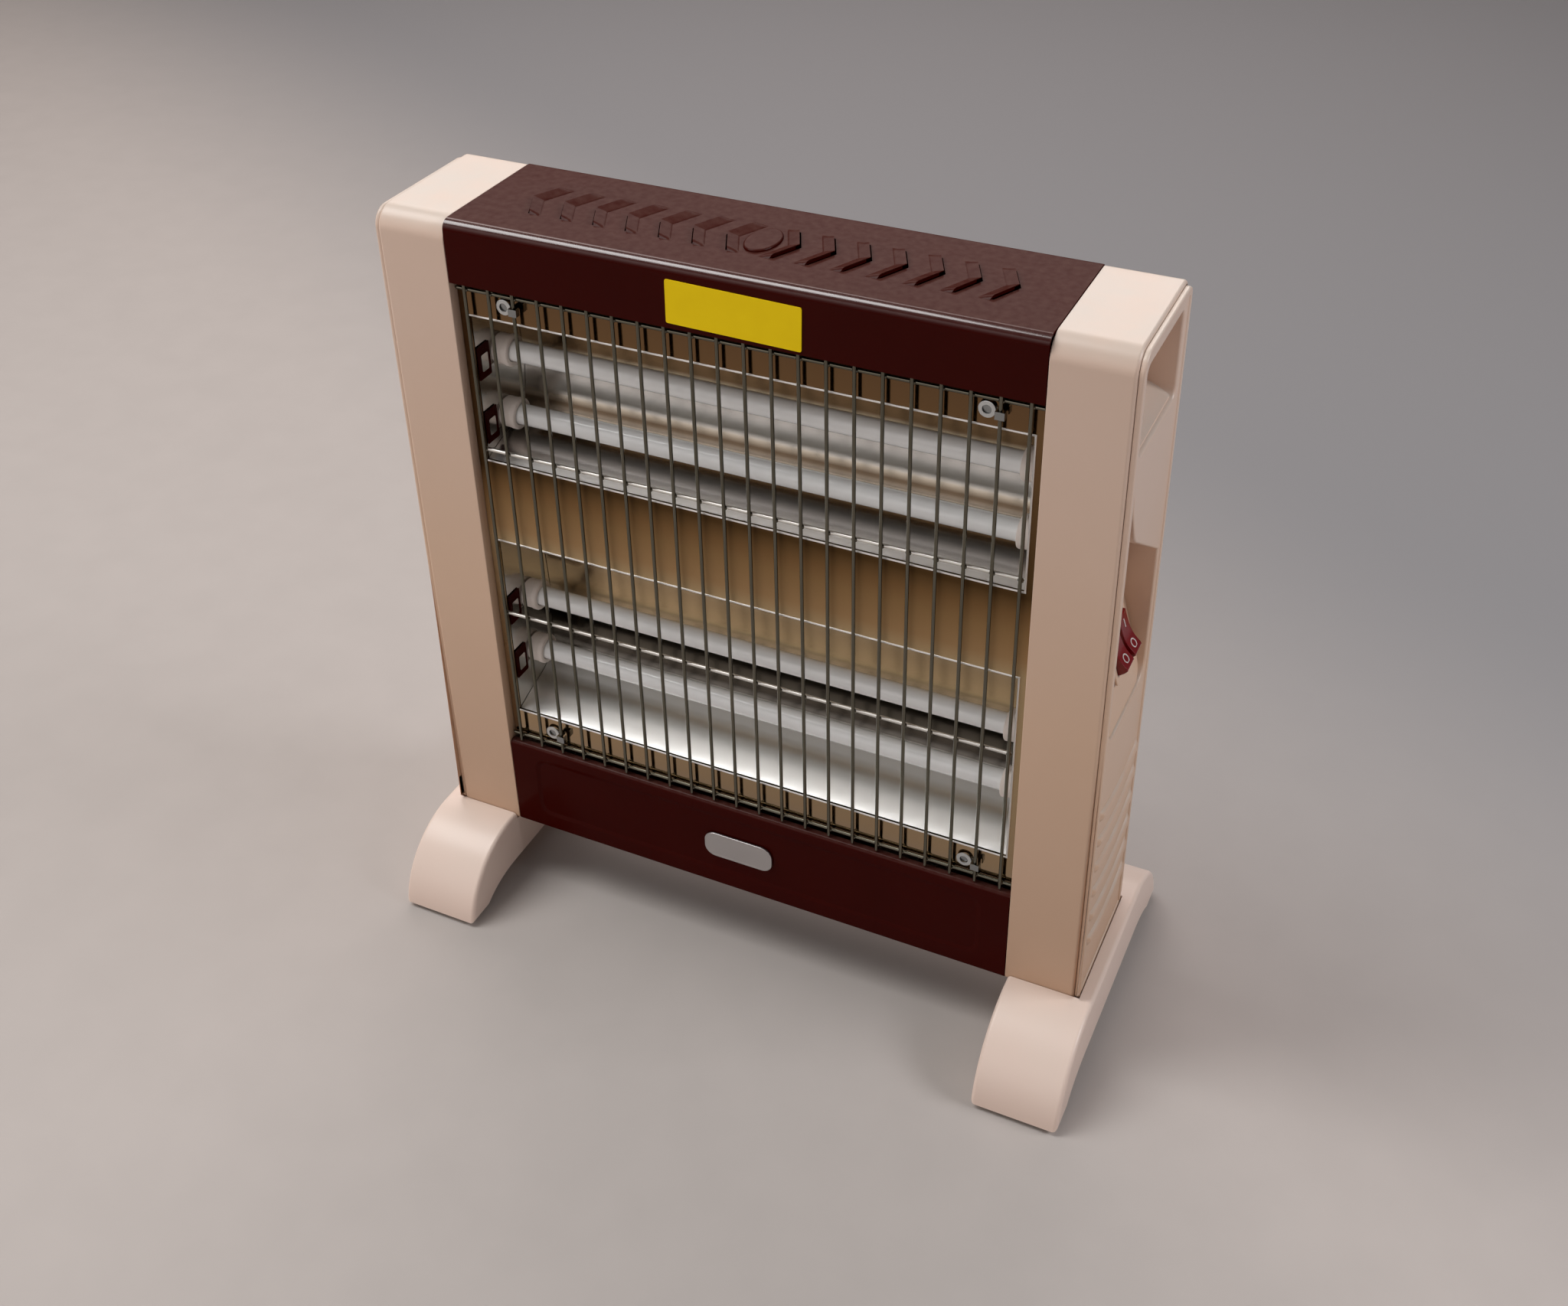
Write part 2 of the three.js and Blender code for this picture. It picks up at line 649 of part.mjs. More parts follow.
function buildTerminalBlock() {
  const block = box(60, 108, 4, 22, terminalFloor, terminalFloor + 14);
  const cups = [66, 78, 90, 102].map((x) => rodZ(3, terminalFloor + 10, terminalFloor + 15, x, 13, 8));
  return without(block, cups);
}
place("terminal_block", buildTerminalBlock(), cream);

function buildTiltSwitch() {
  const base = box(-20, 20, 0, 24, terminalFloor, terminalFloor + 3);
  const housing = box(-12, 12, 2, 22, terminalFloor + 2, terminalFloor + 30);
  const tag = box(-3, 3, 8, 16, terminalFloor + 29, terminalFloor + 36);
  return joined([base, housing, tag]);
}
place("tilt_switch", buildTiltSwitch(), blackPlastic);

function wire(points, radius) {
  const section = new THREE.Shape().absarc(0, 0, radius, 0, 2 * Math.PI);
  const route = new THREE.CatmullRomCurve3(points.map((point) => new THREE.Vector3(...point)));
  const steps = 5 * points.length;
  return new THREE.ExtrudeGeometry(section, { extrudePath: route, steps, curveSegments: 4 });
}
place("supply_wires", wire([
  [120, 33, 76], [128, 26, 76], [145, 25, 76], [162, 25, 76], [170, 28, 84],
  [171, 32, 110], [171, 32, 190], [171, 32, 290], [171, 32, 372],
], 3), cableSheath);
place("return_wire", wire([
  [-176, -14, 150], [-176, -14, 230], [-176, -14, 310], [-176, -14, 380],
], 2.2), cableSheath);

const bushingProfile = [
  [3.8, 38.5], [7.5, 38.5], [7.5, 41], [5.9, 41], [5.9, 42.8],
  [9.5, 42.8], [9.5, 45], [7, 49], [3.8, 49], [3.8, 38.5],
].map(([radius, along]) => new THREE.Vector2(radius, along));
const bushingShape = new THREE.LatheGeometry(bushingProfile, 16).translate(bushing.x, 0, bushing.z);
place("cord_bushing", bushingShape, blackPlastic);

export default heater;
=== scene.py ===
from math import cos, pi, radians, sin

import bmesh
import bpy
from mathutils import Euler, Matrix, Vector
from mathutils.geometry import interpolate_bezier


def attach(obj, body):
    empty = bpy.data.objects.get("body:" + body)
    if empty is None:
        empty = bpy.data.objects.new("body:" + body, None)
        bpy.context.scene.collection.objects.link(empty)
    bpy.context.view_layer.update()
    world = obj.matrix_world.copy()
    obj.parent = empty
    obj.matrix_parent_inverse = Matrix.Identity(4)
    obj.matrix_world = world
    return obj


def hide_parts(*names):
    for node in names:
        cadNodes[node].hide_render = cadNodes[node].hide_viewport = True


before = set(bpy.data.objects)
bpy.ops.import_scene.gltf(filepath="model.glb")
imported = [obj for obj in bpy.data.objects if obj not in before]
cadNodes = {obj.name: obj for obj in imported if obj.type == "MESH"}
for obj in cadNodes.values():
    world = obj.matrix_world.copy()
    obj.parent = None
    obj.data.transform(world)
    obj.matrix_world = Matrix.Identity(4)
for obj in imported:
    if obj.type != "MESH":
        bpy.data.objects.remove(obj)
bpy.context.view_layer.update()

mm = 0.001  # pieces are drawn in millimetres and scaled when they are finished
body = "heater"
sides = (("left", -1), ("right", 1))  # as seen from the front, with the way that X goes
scene = bpy.context.scene
scene.view_settings.view_transform = "Standard"

# camera, lights and floor
cameraSetup = {"place": (0.3538, -0.7108, 0.8083), "azimuth": 24.90, "elevation": 32.85, "roll": -0.67,
               "lens": 40.23, "shift": (-0.017, -0.095)}
# the stage's far colour is painted shade, mixed in towards the back and the right
stage = {"radius": 3.4, "sweep": 0.7, "wall": 2.6, "steps": 96, "color": (0.49, 0.448, 0.42),
         "shadedFar": (0.262, 0.259, 0.265), "fade": (0.05, 0.75),  # metres along the next direction
         "darker": (0.5, 1, 0)}
lampSetup = {
    "keySoftbox": {"place": (-1.2, -0.38, 2.15), "aim": (0, 0, 0.25), "size": (0.95, 1.75), "power": 34,
                   "color": (1.0, 0.995, 0.99)},
    "rearSheen": {"place": (-0.95, 2.0, 1.86), "aim": (0, 0, 0.45), "size": (2.6, 1.2), "power": 31,
                  "color": (1.0, 0.88, 0.84)},
    "rightFill": {"place": (1.75, 0.3, 1.35), "aim": (0, 0, 0.25), "size": (0.9, 0.5), "power": 17,
                  "color": (1.0, 1.0, 1.04)},
    "frontCard": {"place": (-0.8, -2.25, 1.15), "aim": (0, 0, 0.25), "size": (3.4, 1.8), "power": 18,
                  "color": (1.0, 0.95, 0.93)},
}
worldSetup = {"horizon": (0.01, 0.01, 0.01), "zenith": (0.10, 0.10, 0.105), "zenithAt": 0.8}


def buildCamera():
    camera = bpy.data.objects.new("photoCamera", bpy.data.cameras.new("photoCamera"))
    scene.collection.objects.link(camera)
    turn = Euler((pi / 2 - radians(cameraSetup["elevation"]), 0, radians(cameraSetup["azimuth"]))).to_matrix()
    roll = Matrix.Rotation(radians(cameraSetup["roll"]), 3, "Z")
    camera.matrix_world = Matrix.Translation(cameraSetup["place"]) @ (turn @ roll).to_4x4()
    camera.data.lens = cameraSetup["lens"]
    camera.data.sensor_width = 36
    camera.data.shift_x, camera.data.shift_y = cameraSetup["shift"]
    scene.camera = camera


def buildLamps():
    for name, setup in lampSetup.items():
        light = bpy.data.lights.new(name, "AREA")
        light.shape = "RECTANGLE"
        light.size, light.size_y = setup["size"]
        light.energy = setup["power"]
        light.color = setup["color"]
        lamp = bpy.data.objects.new(name, light)
        lamp.location = setup["place"]
        towards = Vector(setup["aim"]) - Vector(setup["place"])
        lamp.rotation_euler = towards.to_track_quat("-Z", "Y").to_euler()
        scene.collection.objects.link(lamp)


# node helpers; what feeds a socket is a link or a plain value
def feed(tree, value, socket):
    if isinstance(value, bpy.types.NodeSocket):
        tree.links.new(value, socket)
    else:
        socket.default_value = value


def addNode(tree, kind, inputs=(), **settings):  # settings are made first, as they change the sockets
    node = tree.nodes.new(f"ShaderNode{kind}")
    for name, value in settings.items():
        setattr(node, name, value)
    for socket, value in dict(inputs).items():
        feed(tree, value, node.inputs[socket])
    return node


def addRamp(tree, factor, stops):  # stops: place from 0 to 1, color
    ramp = addNode(tree, "ValToRGB", {"Fac": factor})
    elements = ramp.color_ramp.elements
    while len(elements) < len(stops):
        elements.new(0.5)
    for element, (place, color) in zip(elements, stops):
        element.position = place
        element.color = (*color, 1)
    return ramp.outputs["Color"]


def mixColors(tree, kind, factor, first, second):
    mix = addNode(tree, "Mix", {"Factor": factor, "A": first, "B": second}, data_type="RGBA", blend_type=kind)
    return mix.outputs["Result"]


def multiply(tree, first, second):
    return addNode(tree, "Math", {0: first, 1: second}, operation="MULTIPLY").outputs[0]


def objectCoords(tree):
    return addNode(tree, "TexCoord").outputs["Object"]


def buildWorld():
    world = bpy.data.worlds.new("studioAir")
    scene.world = world
    world.use_nodes = True
    tree = world.node_tree
    split = addNode(tree, "SeparateXYZ", {0: addNode(tree, "TexCoord").outputs["Generated"]})
    stops = [(0, worldSetup["horizon"]), (worldSetup["zenithAt"], worldSetup["zenith"])]
    feed(tree, addRamp(tree, split.outputs["Z"], stops), tree.nodes["Background"].inputs["Color"])


buildCamera()
buildLamps()
buildWorld()
print("camera, lamps and world placed")


# shared shader effects
def newGroup(name, inputs, outputs):
    group = bpy.data.node_groups.new(name, "ShaderNodeTree")
    for socketName, kind, value in inputs:
        socket = group.interface.new_socket(socketName, in_out="INPUT", socket_type=kind)
        socket.default_value = value
    for socketName, kind in outputs:
        group.interface.new_socket(socketName, in_out="OUTPUT", socket_type=kind)
    return group, group.nodes.new("NodeGroupInput"), group.nodes.new("NodeGroupOutput")


def buildMottle():  # soft noise, mixed into a base color
    group, start, end = newGroup("surfaceMottle", [
        ("Color", "NodeSocketColor", (0.5, 0.5, 0.5, 1)), ("Tint", "NodeSocketColor", (0.4, 0.4, 0.4, 1)),
        ("Scale", "NodeSocketFloat", 30.0), ("Amount", "NodeSocketFloat", 0.3)],
        [("Color", "NodeSocketColor"), ("Mask", "NodeSocketFloat")])
    noise = addNode(group, "TexNoise", {
        "Vector": objectCoords(group), "Scale": start.outputs["Scale"], "Detail": 4})
    contrast = addNode(group, "MapRange", {"Value": noise.outputs["Fac"], "From Min": 0.35, "From Max": 0.68})
    mask = multiply(group, contrast.outputs["Result"], start.outputs["Amount"])
    mixed = mixColors(group, "MIX", mask, start.outputs["Color"], start.outputs["Tint"])
    feed(group, mixed, end.inputs["Color"])
    feed(group, mask, end.inputs["Mask"])
    return group


def buildFineGrain():  # height of a fine texture, stretched by the three scales
    group, start, end = newGroup("fineGrain", [
        ("Stretch", "NodeSocketVector", (1.0, 1.0, 1.0)), ("Scale", "NodeSocketFloat", 900.0)],
        [("Height", "NodeSocketFloat")])
    mapping = addNode(group, "Mapping", {"Vector": objectCoords(group), "Scale": start.outputs["Stretch"]})
    noise = addNode(group, "TexNoise", {
        "Vector": mapping.outputs["Vector"], "Scale": start.outputs["Scale"], "Detail": 3})
    feed(group, noise.outputs["Fac"], end.inputs["Height"])
    return group


def buildDustAndTopLight():  # a mask that is strongest on faces that look upwards: dust together with painted top light
    group, start, end = newGroup("dustAndTopLight", [
        ("Scale", "NodeSocketFloat", 60.0), ("Amount", "NodeSocketFloat", 0.2)],
        [("Mask", "NodeSocketFloat")])
    split = addNode(group, "SeparateXYZ", {0: addNode(group, "NewGeometry").outputs["Normal"]})
    upwards = addNode(group, "MapRange", {"Value": split.outputs["Z"], "From Min": 0.3})
    noise = addNode(group, "TexNoise", {
        "Vector": objectCoords(group), "Scale": start.outputs["Scale"], "Detail": 6})
    patches = multiply(group, upwards.outputs["Result"], noise.outputs["Fac"])
    feed(group, multiply(group, patches, start.outputs["Amount"]), end.inputs["Mask"])
    return group


surfaceMottle = buildMottle()
fineGrain = buildFineGrain()
dustAndTopLight = buildDustAndTopLight()


def useGroup(tree, group, values):
    return addNode(tree, "Group", values, node_tree=group)


def newMaterial(name, roughness, metallic=0.0, **sockets):
    material = bpy.data.materials.new(name)
    material.use_nodes = True
    shader = material.node_tree.nodes["Principled BSDF"]
    shader.inputs["Roughness"].default_value = roughness
    shader.inputs["Metallic"].default_value = metallic
    for socket, value in sockets.items():
        shader.inputs[socket.replace("_", " ")].default_value = value
    return material, material.node_tree, shader


def addMottle(tree, shader, color, tint, scale, amount):
    mottle = useGroup(tree, surfaceMottle, {
        "Color": (*color, 1), "Tint": (*tint, 1), "Scale": scale, "Amount": amount})
    tree.links.new(mottle.outputs["Color"], shader.inputs["Base Color"])
    return mottle


def rampAlong(tree, axis, stops):  # a color ramp along an axis of the piece, with its stops in millimetres
    low, high = stops[0][0], stops[-1][0]
    split = addNode(tree, "SeparateXYZ", {0: objectCoords(tree)})
    spread = addNode(tree, "MapRange", {
        "Value": split.outputs[axis], "From Min": low * mm, "From Max": high * mm})
    shares = [((place - low) / (high - low), color) for place, color in stops]
    return addRamp(tree, spread.outputs["Result"], shares)


def addGrain(tree, shader, scale, distance, stretch=(1, 1, 1), strength=0.4):
    grain = useGroup(tree, fineGrain, {"Stretch": stretch, "Scale": scale})
    height = grain.outputs["Height"]
    bump = addNode(tree, "Bump", {"Strength": strength, "Distance": distance, "Height": height})
    feed(tree, bump.outputs["Normal"], shader.inputs["Normal"])


def varyRoughness(tree, shader, mask, low, high):
    spread = addNode(tree, "MapRange", {"Value": mask, "To Min": low, "To Max": high})
    feed(tree, spread.outputs["Result"], shader.inputs["Roughness"])


# mottle: scale, amount; grain: scale, distance; spread: how far roughness goes below and above; the
# dust-and-light mask: dust and painted top light on upward faces
plastic = {"mottle": (9.0, 0.5), "grain": (1400.0, 0.00003), "spread": (0.04, 0.08),
           "dustAndLight": {"Scale": 40.0, "Amount": 1.5}}
metal = {"mottle": (14.0, 0.6), "grain": (500.0, 0.00001), "strength": 0.25, "spread": (0.03, 0.07)}


def mouldedPlastic(name, color, tint, roughness, coat=(0.12, 0.18), topDustAndLight=None, stops=()):
    material, tree, shader = newMaterial(name, roughness, Coat_Weight=coat[0], Coat_Roughness=coat[1])
    mottle = addMottle(tree, shader, color, tint, *plastic["mottle"])
    addGrain(tree, shader, *plastic["grain"])
    below, above = plastic["spread"]
    varyRoughness(tree, shader, mottle.outputs["Mask"], roughness - below, roughness + above)
    if topDustAndLight:  # paler where it faces up, from dust and painted top light; darker and warmer lower down, painted shade
        shadedLow = mixColors(tree, "MULTIPLY", 1.0, mottle.outputs["Color"], rampAlong(tree, "Z", stops))
        dustAndLight = useGroup(tree, dustAndTopLight, plastic["dustAndLight"])
        pale = mixColors(tree, "MIX", dustAndLight.outputs["Mask"], shadedLow, (*topDustAndLight, 1))
        feed(tree, pale, shader.inputs["Base Color"])
    return material


def polishedSheet(name, color, tint, roughness, stretch):
    material, tree, shader = newMaterial(name, roughness, 1.0)
    mottle = addMottle(tree, shader, color, tint, *metal["mottle"])
    addGrain(tree, shader, *metal["grain"], stretch, metal["strength"])
    below, above = metal["spread"]
    varyRoughness(tree, shader, mottle.outputs["Mask"], roughness - below, roughness + above)
    return material


def plainFinish(name, roughness, mottle, grain, **sockets):
    material, tree, shader = newMaterial(name, roughness, **sockets)
    addMottle(tree, shader, *mottle)
    addGrain(tree, shader, *grain)
    return material


# the last colour of each is the paler top colour, dust and painted top light; the height stops darken the
# plastic lower down, painted shade
creamPlastic = mouldedPlastic(
    "creamPlastic", (0.74, 0.56, 0.455), (0.71, 0.53, 0.42), 0.38, (0.1, 0.2), (0.64, 0.565, 0.49),
    [(40, (0.78, 0.68, 0.57)), (230, (0.95, 0.88, 0.78)), (400, (1, 1, 1)), (450, (1, 1, 1))])
footPlastic = mouldedPlastic(
    "footPlastic", (0.84, 0.67, 0.58), (0.81, 0.64, 0.55), 0.4, (0.1, 0.2), (0.80, 0.66, 0.57),
    [(0, (0.94, 0.93, 0.92)), (50, (1, 1, 1))])
blackPlastic = mouldedPlastic("blackPlastic", (0.014, 0.013, 0.013), (0.03, 0.028, 0.027), 0.42)
redPlastic = mouldedPlastic("redPlastic", (0.20, 0.003, 0.006), (0.15, 0.002, 0.004), 0.22)
whiteMark = mouldedPlastic("whiteMark", (0.72, 0.68, 0.66), (0.6, 0.56, 0.54), 0.5)
brightSteel = polishedSheet("brightSteel", (0.74, 0.73, 0.71), (0.60, 0.58, 0.54), 0.16, (1, 30, 30))
zincPlate = polishedSheet("zincPlate", (0.30, 0.31, 0.31), (0.22, 0.23, 0.23), 0.2, (1, 1, 1))
# one chrome in two copies: a dark one for the uprights and end wires, painted shade, and a light one for the
# middle cross wires, painted highlight
shadedChromeWire = polishedSheet("shadedChromeWire", (0.15, 0.14, 0.11), (0.10, 0.095, 0.07), 0.12, (6, 6, 1))
litChromeWire = polishedSheet("litChromeWire", (0.64, 0.62, 0.58), (0.52, 0.50, 0.46), 0.32, (1, 6, 6))
screwSteel = polishedSheet("screwSteel", (0.62, 0.64, 0.64), (0.50, 0.52, 0.52), 0.28, (1, 1, 1))
# a brighter copy of the sheet steel for the window lips: painted highlight
litLipSteel = polishedSheet("litLipSteel", (0.95, 0.94, 0.92), (0.86, 0.85, 0.82), 0.42, (1, 30, 30))
silverFoil = polishedSheet("silverFoil", (0.52, 0.50, 0.50), (0.42, 0.40, 0.39), 0.34, (1, 30, 1))
heatingAlloy = polishedSheet("heatingAlloy", (0.2, 0.19, 0.18), (0.12, 0.11, 0.1), 0.5, (1, 1, 1))
milkyQuartz = plainFinish(
    "milkyQuartz", 0.16, ((0.96, 0.98, 0.98), (0.88, 0.90, 0.90), 55.0, 0.5),
    (300.0, 0.00003, (0.15, 1, 1), 0.3), Coat_Weight=0.3, Coat_Roughness=0.06)
ceramicBody = plainFinish(
    "ceramicBody", 0.6, ((0.90, 0.82, 0.76), (0.80, 0.72, 0.65), 120.0, 0.6),
    (1500.0, 0.0001, (1, 1, 1), 0.5))
rubberPad = plainFinish(
    "dullRubber", 0.85, ((0.02, 0.019, 0.018), (0.04, 0.037, 0.035), 150.0, 0.6), (1800.0, 0.0001))
yellowFilm = plainFinish(
    "yellowFilm", 0.5, ((0.94, 0.68, 0.01), (0.88, 0.62, 0.009), 70.0, 0.5),
    (120.0, 0.0001, (1, 1, 1), 0.15), Specular_IOR_Level=0.05)
wireSleeve = plainFinish(
    "wireSleeve", 0.7, ((0.5, 0.46, 0.4), (0.3, 0.27, 0.22), 400.0, 0.7), (900.0, 0.0002))

# the body's paint is glossiest where it runs thick, over the front bend; the pale colour on its upward faces
# is partly real dust and partly painted sheen
paint = {"color": (0.040, 0.0018, 0.0006), "tint": (0.034, 0.0015, 0.0005), "mottle": (22.0, 0.6),
         "dustAndLight": (0.30, 0.19, 0.155), "dustAndSheenPatches": {"Scale": 240.0, "Amount": 0.22},
         "peel": (260.0, 0.00003), "thin": (0.07, 0.07, 0.07), "thick": (1, 1, 1)}


def paintedSheet():
    material, tree, shader = newMaterial("maroonEnamel", 0.5, Specular_IOR_Level=0.0, Coat_IOR=1.8,
                                         Coat_Roughness=0.17)
    mottle = addMottle(tree, shader, paint["color"], paint["tint"], *paint["mottle"])
    # painted sheen: the pale colour on upward faces stands for real dust and for the sheen of the lit top
    dustAndLight = useGroup(tree, dustAndTopLight, paint["dustAndSheenPatches"])
    withDustAndSheen = mixColors(tree, "MIX", dustAndLight.outputs["Mask"], mottle.outputs["Color"], (*paint["dustAndLight"], 1))
    feed(tree, withDustAndSheen, shader.inputs["Base Color"])
    addGrain(tree, shader, *paint["peel"], strength=0.3)
    varyRoughness(tree, shader, mottle.outputs["Mask"], 0.46, 0.56)
    thin, thick = paint["thin"], paint["thick"]
    across = rampAlong(tree, "Y", [(-44, thick), (-38, thick), (-37, thin), (44, thin)])
    upwards = rampAlong(tree, "Z", [(40, thin), (447.2, thin), (448.4, thick), (451, thick)])
    feed(tree, mixColors(tree, "DARKEN", 1.0, across, upwards), shader.inputs["Coat Weight"])
    return material


# the reflector sheet's colour by height: a golden heat tint, with dark and bright bands that are painted
# reflections and painted shade: height, color, roughness
sheetTintAndReflections = [
    (125, (0.95, 0.94, 0.92), 0.30), (135, (0.95, 0.95, 0.93), 0.34), (137.5, (0.75, 0.77, 0.76), 0.34),
    (140, (0.95, 0.96, 0.95), 0.50), (146, (0.90, 0.90, 0.88), 0.45), (152, (0.35, 0.34, 0.31), 0.20),
    (157, (0.08, 0.07, 0.06), 0.14), (165, (0.12, 0.11, 0.09), 0.14), (174, (0.05, 0.04, 0.03), 0.12),
    (179, (0.25, 0.24, 0.23), 0.16), (197, (0.58, 0.43, 0.24), 0.16), (212, (0.45, 0.33, 0.19), 0.16),
    (300, (0.95, 0.94, 0.92), 0.30), (309, (0.95, 0.94, 0.92), 0.30), (311, (0.55, 0.52, 0.50), 0.18),
    (313, (0.40, 0.38, 0.36), 0.18), (322, (0.60, 0.52, 0.42), 0.24), (326.5, (0.10, 0.06, 0.03), 0.24),
    (330, (0.40, 0.35, 0.28), 0.18), (334, (0.95, 0.95, 0.92), 0.24), (342, (0.90, 0.90, 0.88), 0.22),
    (350, (0.60, 0.58, 0.55), 0.16), (356, (0.80, 0.72, 0.54), 0.16), (361, (0.20, 0.13, 0.07), 0.14),
    (400, (0.20, 0.13, 0.06), 0.14)]
# the flat bronzed plate, darker below the upper bay's lip and under the top band by painted shade: height,
# color, roughness
plateColourAndShade = [
    (107, (0.34, 0.26, 0.18), 0.10), (122, (0.38, 0.27, 0.16), 0.10), (254, (0.50, 0.37, 0.21), 0.50),
    (264, (0.46, 0.30, 0.15), 0.68), (280, (0.38, 0.24, 0.11), 0.70), (292, (0.27, 0.155, 0.065), 0.66),
    (303, (0.10, 0.055, 0.02), 0.5), (396, (0.18, 0.105, 0.05), 0.12), (430, (0.14, 0.08, 0.04), 0.10)]


# colour and roughness ramps by height; where the colour ramp darkens or brightens, it is painted reflection
# and painted shade
def sheetWithPaintedBands(name, stops, stretch):
    material, tree, shader = newMaterial(name, 0.2, 1.0)
    tint = rampAlong(tree, "Z", [(height, color) for height, color, _ in stops])
    polish = rampAlong(tree, "Z", [(height, (rough, rough, rough)) for height, _, rough in stops])
    feed(tree, tint, shader.inputs["Base Color"])
    feed(tree, polish, shader.inputs["Roughness"])
    addGrain(tree, shader, *metal["grain"], stretch, metal["strength"])
    return material


maroonEnamel = paintedSheet()
reflectorSheet = sheetWithPaintedBands("reflectorSheet", sheetTintAndReflections, (1, 30, 30))
bronzedSteel = sheetWithPaintedBands("bronzedSteel", plateColourAndShade, (30, 1, 30))
print("materials ready:", len(bpy.data.materials))


# drawing helpers, all in millimetres
def moveBy(bm, offset):
    bmesh.ops.translate(bm, vec=offset, verts=bm.verts)
    return bm


def turnBy(bm, degrees, axis, middle=(0, 0, 0)):
    bmesh.ops.rotate(bm, cent=middle, matrix=Matrix.Rotation(radians(degrees), 3, axis), verts=bm.verts)
    return bm


def block(xs, ys, zs):
    bm = bmesh.new()
    bmesh.ops.create_cube(bm, size=1)
    bmesh.ops.scale(bm, vec=[high - low for low, high in (xs, ys, zs)], verts=bm.verts)
    return moveBy(bm, [(low + high) / 2 for low, high in (xs, ys, zs)])


def drum(radius, depth, segments):
    bm = bmesh.new()
    bmesh.ops.create_cone(bm, segments=segments, radius1=radius, radius2=radius, depth=depth, cap_ends=True)
    return bm


def drawOut(bm, faces, offset):  # draws faces out into closed walls
    drawn = bmesh.ops.extrude_face_region(bm, geom=faces)
    moved = [item for item in drawn["geom"] if isinstance(item, bmesh.types.BMVert)]
    bmesh.ops.translate(bm, vec=offset, verts=moved)
    bmesh.ops.recalc_face_normals(bm, faces=bm.faces)
    return bm


def sweepOutline(points, offset, bm=None):  # a flat outline drawn out into a closed block
    bm = bm or bmesh.new()
    face = bm.faces.new([bm.verts.new(point) for point in points])
    return drawOut(bm, [face], offset)


def roundEdges(bm, chosen, width, segments):
    edges = [edge for edge in bm.edges if chosen(edge)]
    bmesh.ops.bevel(bm, geom=edges, offset=width, offset_type="OFFSET", affect="EDGES", segments=segments,
                    profile=0.5, material=-1, clamp_overlap=True)


def middleOf(edge):
    return (edge.verts[0].co + edge.verts[1].co) / 2


def runsAlong(edge, axis):
    direction = (edge.verts[1].co - edge.verts[0].co).normalized()
    return abs(direction[axis]) > 0.999


def isSharp(edge, degreesLimit=40):
    return len(edge.link_faces) == 2 and edge.calc_face_angle(0) > radians(degreesLimit)


def facesAt(bm, axis, value, tolerance=0.02):
    return [face for face in bm.faces if all(abs(vert.co[axis] - value) < tolerance for vert in face.verts)]


def roundCorners(bm, verts, radius, segments):
    bmesh.ops.bevel(bm, geom=list(verts), offset=radius, affect="VERTICES", segments=segments, profile=0.5,
                    material=-1)


def largest(faces):
    return max(faces, key=lambda face: face.calc_area())


def splitAt(bm, faces, place, normal):  # cuts only these faces along a plane
    geom = faces + list({e for f in faces for e in f.edges}) + list({v for f in faces for v in f.verts})
    bmesh.ops.bisect_plane(bm, geom=geom, plane_co=place, plane_no=normal, dist=0.001)


def drawChain(bm, points):
    verts = [bm.verts.new(point) for point in points]
    return verts, [bm.edges.new(pair) for pair in zip(verts, verts[1:])]


def spinChain(points, axis, steps, gap):  # points less than the gap apart become one
    bm = bmesh.new()
    verts, edges = drawChain(bm, points)
    bmesh.ops.spin(bm, geom=verts + edges, cent=(0, 0, 0), axis=axis, angle=2 * pi, steps=steps,
                   use_merge=True)
    bmesh.ops.remove_doubles(bm, verts=bm.verts, dist=gap)
    return bm


def revolve(profile, steps):  # (along, radius) points spun about the X axis
    bm = spinChain([(along, 0, radius) for along, radius in profile], (1, 0, 0), steps, 0.001)
    bmesh.ops.recalc_face_normals(bm, faces=bm.faces)
    return bm


def newPiece(name, bm):
    mesh = bpy.data.meshes.new(name)
    bm.to_mesh(mesh)
    bm.free()
    piece = bpy.data.objects.new(name, mesh)
    scene.collection.objects.link(piece)
    return piece


def addCopy(bm, other):  # adds another drawing to this one
    mesh = bpy.data.meshes.new("passing")
    other.to_mesh(mesh)
    bm.from_mesh(mesh)
    bpy.data.meshes.remove(mesh)
    other.free()
    return bm


def cutAway(bm, cutter):
    for part in (bm, cutter):
        bmesh.ops.recalc_face_normals(part, faces=part.faces)
    holders = [newPiece("cutting", part) for part in (bm, cutter)]
    boolean = holders[0].modifiers.new("cut", "BOOLEAN")
    boolean.operation = "DIFFERENCE"
    boolean.solver = "EXACT"
    boolean.object = holders[1]
    result = bpy.data.meshes.new_from_object(holders[0].evaluated_get(bpy.context.evaluated_depsgraph_get()))
    cut = bmesh.new()
    cut.from_mesh(result)
    for holder in holders:
        mesh = holder.data
        bpy.data.objects.remove(holder)
        bpy.data.meshes.remove(mesh)
    bpy.data.meshes.remove(result)
    return cut


def finishPiece(name, bm, material, stands=(), rides=body, sharp=38, modifiers=(), sign=1):
    if sign < 0:  # pieces are drawn for the right side, and the left one is mirrored
        bmesh.ops.scale(bm, vec=(-1, 1, 1), verts=bm.verts)
        bmesh.ops.reverse_faces(bm, faces=bm.faces)
    bmesh.ops.scale(bm, vec=(mm, mm, mm), verts=bm.verts)
    for face in bm.faces:
        face.smooth = True
    for edge in bm.edges:
        edge.smooth = not isSharp(edge, sharp)
    piece = newPiece(name, bm)
    piece.data.materials.append(material)
    for kind, settings in modifiers:
        modifier = piece.modifiers.new(kind.lower(), kind)
        for setting, value in settings.items():
            setattr(modifier, setting, value)
    weighted = piece.modifiers.new("weightedNormals", "WEIGHTED_NORMAL")
    weighted.keep_sharp = True
    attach(piece, rides)
    if stands:
        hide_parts(*stands)


